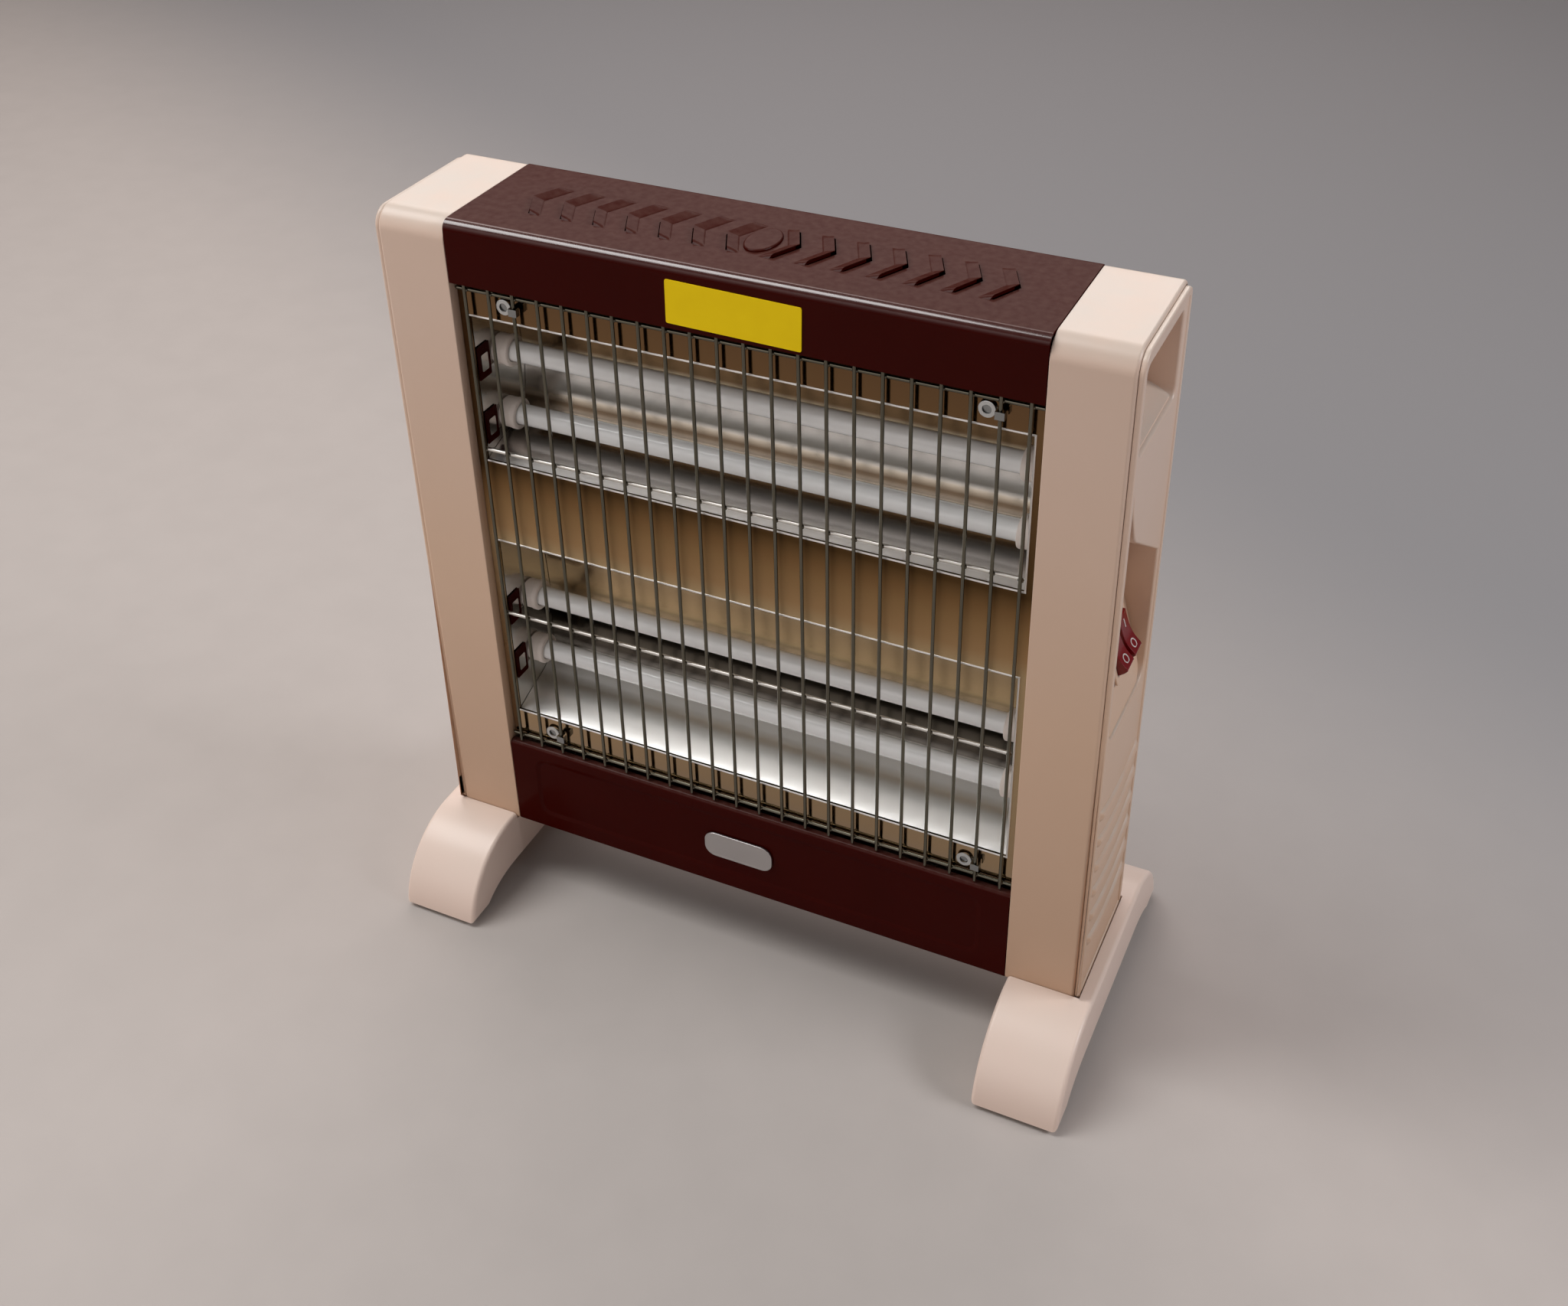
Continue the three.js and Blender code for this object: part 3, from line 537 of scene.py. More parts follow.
def dress(material, *names):  # a better finish on a solid that stays as it is
    for name in names:
        for place in cadNodes[name].material_slots:
            place.material = material


# folded steel top with its front band
sheet = {"halfWidth": 160.7, "front": -42.3, "rear": 42.5, "thickness": 1.2, "top": 450, "bandBottom": 415.5,
         "frontBend": 5.5, "rearBend": 2.5, "rearLip": 438}
louvre = {"count": 7, "pitch": 18.75, "first": 20.5, "reach": 6.5, "arm": 16.5, "slant": 0.47, "rise": 1.9,
          "foot": 0.15, "slit": 3.2, "open": 0.9, "sheet": 0.4, "lift": 0.03, "cut": 3,
          "across": (0, 0.03, 0.07, 0.12, 0.2, 0.6, 1),  # shares of its reach, close together at its foot
          "along": (0, 0.2, 0.4, 0.6, 0.75, 0.85, 0.9, 0.94, 0.97, 1)}  # shares of its length
boss = {"halfWidth": 8.8, "halfDepth": 14, "rise": 1.3, "edge": 1.1}


def louvreArms():  # every arm: where its tip is, its side of the middle and its end of the louvre
    return [(louvre["first"] + louvre["pitch"] * index, side, end)
            for index in range(louvre["count"]) for side in (-1, 1) for end in (-1, 1)]


def slitCutter():
    cutter = bmesh.new()
    for tip, side, end in louvreArms():
        back = louvre["slant"] * louvre["arm"]
        corners = [(tip - louvre["slit"], 0), (tip, 0), (tip - back, end * louvre["arm"]),
                   (tip - back - louvre["slit"], end * louvre["arm"])]
        low = sheet["top"] - louvre["cut"]
        sweepOutline([(side * x, y, low) for x, y in corners], (0, 0, 2 * louvre["cut"]), cutter)
    return cutter


def louvreHood(tip, side, end):  # one arm: a short steep foot, then a gentle rise to the open outer edge
    bm = bmesh.new()
    across, along = louvre["across"], louvre["along"]
    footEnd, closingStart = across[3], along[5]
    bmesh.ops.create_grid(bm, x_segments=len(across) - 1, y_segments=len(along) - 1, size=0.5)
    for vert in bm.verts:
        a = across[round((vert.co.x + 0.5) * (len(across) - 1))]
        b = along[round((vert.co.y + 0.5) * (len(along) - 1))]
        foot = sin(pi / 2 * min(1, a / footEnd)) ** 2 * louvre["foot"]
        closing = cos(pi / 2 * max(0, (b - closingStart) / (1 - closingStart)))
        y = b * (louvre["arm"] + 1)
        x = tip - louvre["open"] - louvre["slant"] * y - louvre["reach"] * (1 - a)
        height = (foot + (louvre["rise"] - louvre["foot"]) * a) * closing
        vert.co = (side * x, end * y, sheet["top"] + louvre["lift"] + height)
    return drawOut(bm, list(bm.faces), (0, 0, -louvre["sheet"]))


def foldSheet(fold):  # a folded outline (y, z) over the whole width of the body
    return sweepOutline([(-sheet["halfWidth"], y, z) for y, z in fold], (2 * sheet["halfWidth"], 0, 0))


def buildTopCover():
    thickness, top = sheet["thickness"], sheet["top"]
    front, rear = sheet["front"], sheet["rear"]
    inner = (front + thickness, top - thickness)
    bm = foldSheet([(front, sheet["bandBottom"]), (inner[0], sheet["bandBottom"]), inner,
                    (rear - thickness, inner[1]), (rear - thickness, sheet["rearLip"]),
                    (rear, sheet["rearLip"]), (rear, top), (front, top)])
    roundEdges(bm, lambda e: runsAlong(e, 0) and middleOf(e).z > top - 0.1 and middleOf(e).y < 0,
               sheet["frontBend"], 8)
    roundEdges(bm, lambda e: runsAlong(e, 0) and middleOf(e).z > top - 0.1 and middleOf(e).y > rear - 0.1,
               sheet["rearBend"], 4)
    roundEdges(bm, lambda e: runsAlong(e, 0) and abs(middleOf(e).y - inner[0]) < 0.01
               and abs(middleOf(e).z - inner[1]) < 0.01, sheet["frontBend"] - thickness, 8)
    bm = cutAway(bm, slitCutter())
    for arm in louvreArms():
        addCopy(bm, louvreHood(*arm))
    dome = drum(boss["halfWidth"], 2 * boss["rise"], 48)
    bmesh.ops.scale(dome, vec=(1, boss["halfDepth"] / boss["halfWidth"], 1), verts=dome.verts)
    roundEdges(dome, lambda e: middleOf(e).z > boss["rise"] - 0.01, boss["edge"], 5)
    addCopy(bm, moveBy(dome, (0, 0, top)))
    finishPiece("topCover", bm, maroonEnamel, ["top_cover"])


# front skirt with its pressed field
skirt = {"bottom": 43, "top": 107.5, "flange": 3.4, "bend": 2.6, "fieldHalf": 145, "fieldBottom": 54,
         "fieldTop": 100, "fieldCorner": 9, "fieldEdge": 0.2, "stepWidth": 0.9,
         "steps": (0.12, 0.23, 0.23, 0.12)}  # how far each step of the field's border goes in


def inFieldBand(face):
    return skirt["fieldBottom"] < face.calc_center_median().z < skirt["fieldTop"]


def buildLowerPanel():
    front, thickness = sheet["front"], sheet["thickness"]
    rear = sheet["rear"] - thickness - 0.3
    flange = front + thickness + skirt["flange"]
    bottom, top = skirt["bottom"], skirt["top"]
    bm = foldSheet([(front, bottom), (rear, bottom), (rear, bottom + thickness),
                    (front + thickness, bottom + thickness), (front + thickness, top - thickness),
                    (flange, top - thickness), (flange, top), (front, top)])
    roundEdges(bm, lambda e: runsAlong(e, 0) and abs(middleOf(e).y - front) < 0.01, skirt["bend"], 5)
    for z in (skirt["fieldBottom"], skirt["fieldTop"]):
        splitAt(bm, facesAt(bm, 1, front), (0, 0, z), (0, 0, 1))
    for x in (-skirt["fieldHalf"], skirt["fieldHalf"]):
        splitAt(bm, [f for f in facesAt(bm, 1, front) if inFieldBand(f)], (x, 0, 0), (1, 0, 0))
    field = largest(f for f in facesAt(bm, 1, front) if inFieldBand(f))
    bmesh.ops.inset_region(bm, faces=[field], thickness=skirt["fieldEdge"], depth=0)
    roundCorners(bm, field.verts, skirt["fieldCorner"], 6)
    field = largest(f for f in facesAt(bm, 1, front) if inFieldBand(f))
    for drop in skirt["steps"]:
        bmesh.ops.inset_region(bm, faces=[field], thickness=skirt["stepWidth"], depth=-drop)
    finishPiece("lowerPanel", bm, maroonEnamel, ["lower_front_panel"], sharp=50)


# rear sheet with rounded vent slots
rearSheet = {"bottom": 43, "top": 437.7, "groups": (360, 190), "rows": 5, "rowPitch": 11,
             "columns": (-105, -35, 35, 105), "slot": (52, 4), "bushing": (120, 76, 6.3)}


def buildRearPanel():
    rear, half = sheet["rear"], sheet["halfWidth"]
    bm = block((-half, half), (rear - sheet["thickness"], rear), (rearSheet["bottom"], rearSheet["top"]))
    cutter = bmesh.new()
    wide, high = rearSheet["slot"]
    levels = [lowest + row * rearSheet["rowPitch"] for lowest in rearSheet["groups"]
              for row in range(rearSheet["rows"])]
    for z in levels:
        for x in rearSheet["columns"]:
            slot = block((x - wide / 2, x + wide / 2), (rear - 4, rear + 4), (z, z + high))
            roundEdges(slot, lambda e: runsAlong(e, 1), high / 2 - 0.05, 4)
            addCopy(cutter, slot)
    x, z, radius = rearSheet["bushing"]
    addCopy(cutter, moveBy(turnBy(drum(radius, 10, 32), 90, "X"), (x, rear, z)))
    bm = cutAway(bm, cutter)
    edging = ("BEVEL", {"width": 0.0003, "segments": 2, "limit_method": "ANGLE", "angle_limit": radians(50)})
    finishPiece("rearPanel", bm, maroonEnamel, ["rear_panel"], modifiers=[edging])


buildTopCover()
buildLowerPanel()
buildRearPanel()
print("steel body drawn")

# plastic side shells
shell = {"inner": 161, "outer": 201.5, "halfDepth": 42.5, "bottom": 43, "top": 450, "wall": 2.5,
         "frontCorner": 12, "rearCorner": 4, "bottomCorner": 3, "edgeRound": 1.9, "innerRound": 0.7,
         "steps": 5, "window": (-30, 36, 112, 430)}


def roundedSlab(setup, half, low, high):  # what shells and covers start from, rounded round its outer face
    outer, steps = setup["outer"], setup["steps"]
    bm = block((setup["inner"], outer), (-half, half), (low, high))
    for end, corner, cornerSteps in ((-1, "frontCorner", 10), (1, "rearCorner", steps)):
        roundEdges(bm, lambda e: runsAlong(e, 0) and middleOf(e).z > high - 0.1
                   and end * middleOf(e).y > half - 0.1, setup[corner], cornerSteps)
    roundEdges(bm, lambda e: runsAlong(e, 0) and middleOf(e).z < low + 0.1, setup["bottomCorner"], 3)
    roundEdges(bm, lambda e: not runsAlong(e, 0) and middleOf(e).x > outer - 0.01, setup["edgeRound"], steps)
    return bm


def buildShell(side, sign):
    inner = shell["inner"]
    bm = roundedSlab(shell, shell["halfDepth"], shell["bottom"], shell["top"])
    roundEdges(bm, lambda e: not runsAlong(e, 0) and middleOf(e).x < inner + 0.01, shell["innerRound"], 2)
    bmesh.ops.delete(bm, geom=[largest(facesAt(bm, 0, shell["outer"]))], context="FACES")
    front, rear, low, high = shell["window"]
    for place, normal in (((0, front, 0), (0, 1, 0)), ((0, rear, 0), (0, 1, 0)),
                          ((0, 0, low), (0, 0, 1)), ((0, 0, high), (0, 0, 1))):
        splitAt(bm, facesAt(bm, 0, inner), place, normal)
    opening = [f for f in facesAt(bm, 0, inner) if front < f.calc_center_median().y < rear
               and low < f.calc_center_median().z < high]
    bmesh.ops.delete(bm, geom=opening, context="FACES")
    wall = ("SOLIDIFY", {"thickness": shell["wall"] * mm, "offset": -1, "use_even_offset": True})
    finishPiece(f"{side}Shell", bm, creamPlastic, [f"side_shell_{side}"], modifiers=[wall],
                sign=sign)


# side covers: rim, sunk face, grip pocket and ribs, with a scooped switch recess on the right one
cover = {"inner": 201.7, "outer": 204.4, "inset": 1.5, "frontCorner": 10.4, "rearCorner": 5.6,
         "bottomCorner": 2, "edgeRound": 1.1, "steps": 4, "rim": 2.6, "sunk": 0.8, "fillet": (0.25, 0.15),
         "wallRound": 1.6, "wall": 0.9}
grip = {"front": -33.5, "rear": 32.5, "bottom": 391.5, "top": 439.5, "cornerRound": 7, "floor": 187.8,
        "crease": 398, "floorRound": [(0.3, -1.2), (0.8, -0.6), (1.2, -0.2)], "rounded": 3.6, "above": 1.5,
        "least": 0.05}
recess = {"floor": 187.8, "crease": 271.3, "rimRound": 1.2, "lip": 1.6, "holeHalf": 15,
          "outline": [(-34, 219.5), (35.2, 219.5), (35.2, 302), (-20.5, 340.5), (-30, 362), (-34.5, 384),
                      (-35.4, 384)],
          "corners": [(3, 4), (1, 13), (0, 13)]}  # which corner, radius
rib = {"count": 6, "lowest": 76.2, "pitch": 18.3, "halfWidth": 3.5, "halfDepth": 35.6, "sag": 9, "lowestY": 6,
       "sagSpan": 44, "rise": 2.1, "rooted": 0.15, "sheet": 0.6, "fade": 14}


def faceOutwards(bm, guide):  # turns an open sheet so that the guide face looks along +X
    bmesh.ops.recalc_face_normals(bm, faces=bm.faces)
    if guide.normal.x < 0:
        bmesh.ops.reverse_faces(bm, faces=bm.faces)


def sinkFace(bm, face, steps):
    for thickness, depth in steps:
        bmesh.ops.inset_region(bm, faces=[face], thickness=thickness, depth=depth, use_even_offset=True)


def rollIn(radius, steps=4):  # inset steps that follow a quarter circle over an edge
    marks = [radians(90 * step / steps) for step in range(steps + 1)]
    return [(radius * (sin(b) - sin(a)), -radius * (cos(a) - cos(b))) for a, b in zip(marks, marks[1:])]


def buildRib(index):
    bm = bmesh.new()
    bmesh.ops.create_grid(bm, x_segments=28, y_segments=8, size=1)
    base = cover["outer"] - cover["sunk"] - rib["rooted"]
    low = rib["lowest"] + index * rib["pitch"]
    for vert in bm.verts:
        along, across = vert.co.x, vert.co.y
        y = along * rib["halfDepth"]
        z = low + rib["sag"] * ((y - rib["lowestY"]) / rib["sagSpan"]) ** 2 + across * rib["halfWidth"]
        fade = min(1, (1 - abs(along)) * rib["fade"]) ** 0.5
        vert.co = (base + rib["rise"] * max(0, 1 - across ** 2) ** 0.6 * fade, y, z)
    return drawOut(bm, list(bm.faces), (-rib["sheet"], 0, 0))


def outlineFace(bm, plane, points, corners):  # a loose face in the plane, with some of its corners rounded
    verts = [bm.verts.new((plane, y, z)) for y, z in points]
    bm.faces.new(verts)
    for index, radius in corners:
        roundCorners(bm, [verts[index]], radius, 7)
    return [f for f in facesAt(bm, 0, plane) if all(len(e.link_faces) == 1 for e in f.edges)][-1]


def insideOutline(point, face):
    corners = [(vert.co.y, vert.co.z) for vert in face.verts]
    inside = False
    for (ya, za), (yb, zb) in zip(corners, corners[1:] + corners[:1]):
        if (za > point.z) != (zb > point.z) and point.y < (yb - ya) * (point.z - za) / (zb - za) + ya:
            inside = not inside
    return inside


def buildCover(side, sign, hasSwitches):
    bm = roundedSlab(cover, shell["halfDepth"] - cover["inset"], shell["bottom"] + cover["inset"],
                     shell["top"] - cover["inset"])
    face = largest(facesAt(bm, 0, cover["outer"]))
    fillet, drop = cover["fillet"]
    sinkFace(bm, face, [(cover["rim"], 0), (fillet, -drop), (0.3, 2 * drop - cover["sunk"]), (fillet, -drop)])
    plane = cover["outer"] - cover["sunk"]
    border = list(face.edges)
    bmesh.ops.delete(bm, geom=[face] + facesAt(bm, 0, cover["inner"]), context="FACES_ONLY")
    grow = cover["wallRound"] * 0.6
    front, rear = grip["front"] - grow, grip["rear"] + grow
    bottom, top = grip["bottom"] - grow, grip["top"] + grow
    pocket = outlineFace(bm, plane, [(front, bottom), (rear, bottom), (rear, top), (front, top)],
                         [(index, grip["cornerRound"]) for index in (3, 2, 1, 0)])
    openings = [pocket]
    if hasSwitches:
        openings.append(outlineFace(bm, plane, recess["outline"], recess["corners"]))
    rims = [edge for face in openings for edge in face.edges]
    filled = bmesh.ops.triangle_fill(bm, use_beauty=True, use_dissolve=False, edges=border + rims,
                                     normal=(1, 0, 0))
    spare = [f for f in filled["geom"] if isinstance(f, bmesh.types.BMFace)
             and any(insideOutline(f.calc_center_median(), hole) for hole in openings)]
    bmesh.ops.delete(bm, geom=spare, context="FACES_ONLY")
    faceOutwards(bm, pocket)
    walls = plane - grip["floor"] - grip["rounded"]
    sinkFace(bm, pocket, rollIn(cover["wallRound"]) + [(0.05, -walls)] + grip["floorRound"])
    slopePocket(bm, plane)
    if hasSwitches:
        scoop(bm, openings[1], plane)
        faceOutwards(bm, pocket)
    ribs = bmesh.new()
    for index in range(rib["count"]):
        addCopy(ribs, buildRib(index))
    wall = ("SOLIDIFY", {"thickness": cover["wall"] * mm, "offset": -1})
    finishPiece(f"{side}CoverRibs", ribs, creamPlastic, sign=sign)
    finishPiece(f"{side}Cover", bm, creamPlastic, [f"side_cover_{side}"], modifiers=[wall],
                sign=sign)


def inPocket(point):  # with 2 mm to spare all round
    return grip["front"] - 2 < point.y < grip["rear"] + 2 and grip["bottom"] - 2 < point.z < grip["top"] + 2


def slopePocket(bm, plane):  # below its crease the grip pocket gets shallower, down to the rim
    rim = plane - cover["wallRound"] - 0.03
    low, crease = grip["bottom"] + grip["above"], grip["crease"]
    deep = [f for f in bm.faces if inPocket(f.calc_center_median()) and min(v.co.x for v in f.verts) < rim]
    splitAt(bm, deep, (0, 0, crease), (0, 0, 1))
    for vert in bm.verts:
        if inPocket(vert.co) and vert.co.x < rim and vert.co.z < crease:
            share = max(grip["least"], (vert.co.z - low) / (crease - low))
            vert.co.x = rim - share * (rim - vert.co.x)


# switch frame: its own axes are along the sloping floor, across it and out of it
switch = {"slope": 18, "foot": (204.5, 219), "along": 37.1, "y": 12, "pitch": 14.6,
          "body": (15.5, 14.9, 15, 0.2),  # half length, half width, depth, height above the floor
          "bezel": (17, 16.8, 1.2), "bezelRound": (1.6, 0.7), "well": (13.4, 6.3, 12)}


def switchFrame():
    slope = radians(switch["slope"])
    x, z = switch["foot"]
    middle = Vector((x - sin(slope) * switch["along"], switch["y"], z + cos(slope) * switch["along"]))
    up, out = Vector((-sin(slope), 0, cos(slope))), Vector((cos(slope), 0, sin(slope)))
    turn = Matrix((up, Vector((0, 1, 0)), out)).transposed().to_4x4()
    return Matrix.Translation(middle) @ turn


def ontoSlope(bm):  # the switch's frame is left-handed, so the faces are turned back
    bmesh.ops.transform(bm, matrix=switchFrame(), verts=bm.verts)
    bmesh.ops.reverse_faces(bm, faces=bm.faces)


def scoop(bm, face, plane):  # sinks the recess, slopes its floor up and leaves a hole for the switches
    floor, crease = recess["floor"], recess["crease"]
    sinkFace(bm, face, rollIn(recess["rimRound"]) + [(0.02, floor + recess["rimRound"] - plane)])
    splitAt(bm, [face], (0, 0, crease), (0, 0, 1))
    lower = min(facesAt(bm, 0, floor, 0.05), key=lambda f: f.calc_center_median().z)
    lowest = min(vert.co.z for vert in lower.verts)
    slope = (plane - recess["lip"] - floor) / (crease - lowest)
    for vert in lower.verts:
        vert.co.x = floor + (crease - vert.co.z) * slope
    border = list(lower.edges)
    bmesh.ops.delete(bm, geom=[lower], context="FACES_ONLY")
    place, half = switchFrame(), recess["holeHalf"]
    hole = []
    for a, b in ((-half, -half), (half, -half), (half, half), (-half, half)):
        corner = place @ Vector((a, b, 0))
        hole.append(bm.verts.new((floor + (crease - corner.z) * slope, corner.y, corner.z)))
    rim = [bm.edges.new((hole[i], hole[(i + 1) % 4])) for i in range(4)]
    bmesh.ops.triangle_fill(bm, use_beauty=True, use_dissolve=False, edges=border + rim)


for side, sign in sides:
    buildShell(side, sign)
for side, sign in sides:
    buildCover(side, sign, side == "right")
print("side shells and covers drawn")

# arched feet, each in one moulded bar
foot = {"inner": 163, "outer": 213, "top": 47, "arch": 14, "edgeRound": 4.5, "behindToe": 88,
        "toeCurve": ((-100, 3), (-97, 26), (-76, 46), (-50, 47)), "toeSteps": 18,
        "archCurve": ((-50, 14), (-64.7, 14), (-76.3, 10.3), (-85, 3)), "archSteps": 9,
        "seatDepth": 42.8, "seatTop": 42.7, "seatOuter": 204.9, "screws": (183, 26),
        "holes": ((2.3, 60), (5, 24))}  # radius, depth of each screw's way
pad = {"xs": (168, 208), "ys": (86, 96), "height": 2.7, "corner": 2.5, "edge": 0.5}


def curvePoints(x, curve, steps):
    points = interpolate_bezier(*[(y, z, 0) for y, z in curve], steps)
    return [(x, point.x, point.y) for point in points]


def footOutline(x):  # the rear half mirrors the front one
    top = curvePoints(x, foot["toeCurve"], foot["toeSteps"])
    under = curvePoints(x, foot["archCurve"], foot["archSteps"])
    rear = [(x, -y, z) for curve in (top, under) for _, y, z in reversed(curve)]
    return top + rear + under


def buildFoot(side, sign):
    bm = sweepOutline(footOutline(foot["inner"]), (foot["outer"] - foot["inner"], 0, 0))
    roundEdges(bm, lambda e: not runsAlong(e, 0) and (middleOf(e).z > foot["arch"] + 0.5
               or abs(middleOf(e).y) > foot["behindToe"]), foot["edgeRound"], 5)
    seat = block((foot["inner"] - 5, foot["seatOuter"]), (-foot["seatDepth"], foot["seatDepth"]),
                 (foot["seatTop"], foot["top"] + 5))
    x, y = foot["screws"]
    for end in (-1, 1):
        for radius, depth in foot["holes"]:
            addCopy(seat, moveBy(drum(radius, depth, 24), (x, end * y, depth / 2 - 0.5)))
    bm = cutAway(bm, seat)
    finishPiece(f"{side}Foot", bm, footPlastic, [f"foot_{side}"], sharp=32, sign=sign)


def buildPad(side, sign, endName, end):
    bm = block(pad["xs"], sorted(end * y for y in pad["ys"]), (0, pad["height"]))
    roundEdges(bm, lambda e: runsAlong(e, 2), pad["corner"], 4)
    roundEdges(bm, lambda e: middleOf(e).z < 0.1 and isSharp(e), pad["edge"], 2)
    finishPiece(f"{side}{endName.title()}Pad", bm, rubberPad, [f"foot_pad_{side}_{endName}"],
                sign=sign)


for side, sign in sides:
    buildFoot(side, sign)
    for endName, end in (("front", -1), ("rear", 1)):
        buildPad(side, sign, endName, end)
print("feet and pads drawn")

# folded reflector troughs, their end walls and the bright lips round the two windows
plateFront = -36.3
bays = {"upper": {"bottom": 307, "top": 395, "tubes": (365.7, 326.3)},
        "lower": {"bottom": 130, "top": 253, "tubes": (202.6, 162.8)}}
tubeHeights = [z for bay in bays.values() for z in bay["tubes"]]
trough = {"halfWidth": 155.2, "front": -35, "flank": ((0, 0), (14, 5), (27, 8.5), (36, 14), (42, 24)),
          "depth": 44.5, "sheet": 0.8, "bend": 3.0}
lip = {"width": 1.1, "stand": 0.5, "round": 0.3}


def troughChain(bay):
    lower = [(trough["front"] + depth, bay["bottom"] + inset) for depth, inset in trough["flank"]]
    middle = [(trough["front"] + trough["depth"], (bay["bottom"] + bay["top"]) / 2)]
    upper = [(y, bay["top"] + bay["bottom"] - z) for y, z in reversed(lower)]
    return lower + middle + upper


def buildTrough(bayName, bay):
    bm = bmesh.new()
    _, chain = drawChain(bm, [(-trough["halfWidth"], y, z) for y, z in troughChain(bay)])
    drawn = bmesh.ops.extrude_edge_only(bm, edges=chain)
    moved = [item for item in drawn["geom"] if isinstance(item, bmesh.types.BMVert)]
    bmesh.ops.translate(bm, vec=(2 * trough["halfWidth"], 0, 0), verts=moved)
    for face in bm.faces:
        face.normal_update()
    if max(bm.faces, key=lambda f: f.calc_center_median().y).normal.y > 0:
        bmesh.ops.reverse_faces(bm, faces=bm.faces)
    roundEdges(bm, lambda e: runsAlong(e, 0) and len(e.link_faces) == 2, trough["bend"], 4)
    wall = ("SOLIDIFY", {"thickness": trough["sheet"] * mm, "offset": -1, "use_even_offset": True})
    finishPiece(f"{bayName}Trough", bm, reflectorSheet, [f"{bayName}_reflector"],
                modifiers=[wall])


def buildLips(bayName, bay):
    half, front, low, high = trough["halfWidth"], plateFront, bay["bottom"], bay["top"]
    outer = half + lip["width"]
    strips = [((-outer, outer), (high, high + lip["width"])), ((-outer, outer), (low - lip["width"], low)),
              ((-outer, -half), (low, high)), ((half, outer), (low, high))]
    bm = bmesh.new()
    for xs, zs in strips:
        strip = block(xs, (front - lip["stand"], front - 0.02), zs)
        roundEdges(strip, lambda e: middleOf(e).y < front - lip["stand"] + 0.01, lip["round"], 3)
        addCopy(bm, strip)
    finishPiece(f"{bayName}WindowLips", bm, litLipSteel)


# painted strips with a steel tab beside every tube, on the end walls
endWall = 155.1
endStrip = {"proud": 0.4, "ys": (-34.5, -23.2), "zs": (-11, 9), "corner": 0.8}
endTab = {"proud": 1.0, "ys": (-32, -26), "zs": (-6.5, 3.5), "corner": 0.8}


def endPlates(setup):
    bm = bmesh.new()
    for z in tubeHeights:
        zs = [z + step for step in setup["zs"]]
        plate = block((endWall - setup["proud"], endWall - 0.05), setup["ys"], zs)
        roundEdges(plate, lambda e: runsAlong(e, 0), setup["corner"], 3)
        addCopy(bm, plate)
    return bm


for side, sign in sides:
    finishPiece(f"{side}EndStrips", endPlates(endStrip), maroonEnamel, sign=sign)
    finishPiece(f"{side}EndTabs", endPlates(endTab), brightSteel, sign=sign)
for bayName, bay in bays.items():
    buildTrough(bayName, bay)
    buildLips(bayName, bay)
dress(bronzedSteel, "reflector_plate")
for bayName in bays:
    dress(brightSteel, f"{bayName}_reflector_end_left", f"{bayName}_reflector_end_right")
print("reflectors drawn")

# quartz tubes, ceramic holders and heating elements
tube = {"y": -14, "radius": 5.9, "bore": 4.9, "half": 152.4, "steps": 48}
holder = {"face": 144.7, "radius": 9, "neck": 6.5, "wall": 155.1, "end": 166, "bore": 6.25, "lead": 1.6,
          "steps": 40}


def buildTube(number, z):
    half, outer, bore = tube["half"], tube["radius"], tube["bore"]
    profile = [(-half, bore), (-half, outer - 0.3), (-half + 0.3, outer), (half - 0.3, outer),
               (half, outer - 0.3), (half, bore), (-half, bore)]
    bm = moveBy(revolve(profile, tube["steps"]), (0, tube["y"], z))
    finishPiece(f"quartzTube{number}", bm, milkyQuartz, [f"quartz_tube_{number}"])


def buildHolder(number, z, side, sign):
    face, radius, bore, wall = holder["face"], holder["radius"], holder["bore"], holder["wall"]
    seat, end, lead = tube["half"] + 0.35, holder["end"], holder["lead"]
    rim, step = wall - 0.3, wall + 2  # the neck runs through the end wall between these two
    profile = [(seat, bore), (face + 0.5, bore), (face, bore + 0.5), (face, radius - 1.1),
               (face + 0.3, radius - 0.4), (face + 1, radius), (face + 3.2, radius),
               (face + 3.6, radius - 0.35), (wall - 0.8, radius - 0.35), (rim, radius - 0.7),
               (rim, holder["neck"]), (step, holder["neck"]), (step, radius - 0.6), (step + 0.6, radius),
               (end - 1.4, radius - 1.2), (end, radius - 2.4), (end, lead), (seat, lead), (seat, bore)]
    bm = moveBy(revolve(profile, holder["steps"]), (0, tube["y"], z))
    finishPiece(f"{side}Holder{number}", bm, ceramicBody, [f"ceramic_holder_{number}_{side}"],
                sign=sign)


for number, z in enumerate(tubeHeights, 1):
    buildTube(number, z)
    dress(heatingAlloy, f"heating_element_{number}")
    for side, sign in sides:
        buildHolder(number, z, side, sign)
print("tubes and holders drawn")

# wire grille with its clips and screws
grille = {"count": 22, "pitch": 14.65, "radius": 1.0, "y": -39.8, "zs": (108.3, 424), "crossRadius": 1.1,
          "crossY": -38, "crossWires": ((411.5, 160.4), (315, 154.9), (204, 154.9), (112, 160.4)),
          "weld": (1.7, 1.3, 1.5)}
screw = {"x": 131.85, "zs": {"top": 405, "bottom": 120}, "seat": -37.9, "headRadius": 3.8, "rise": 2.6,
         "shank": (1.9, 13.9), "washer": 4.5, "cross": ((1.4, 4), (-1.6, 1.6), (-0.3, 0.3)),
         "turns": (35, 125)}  # degrees that the blades of the cross are turned
clip = {"half": 2.1, "drop": 0.4, "back": -36.5, "front": -41.7, "sheet": 0.7, "start": -3.5, "rise": 4.9,
        "end": 9.9, "tip": -38.2, "bend": 0.3, "edge": 0.15}


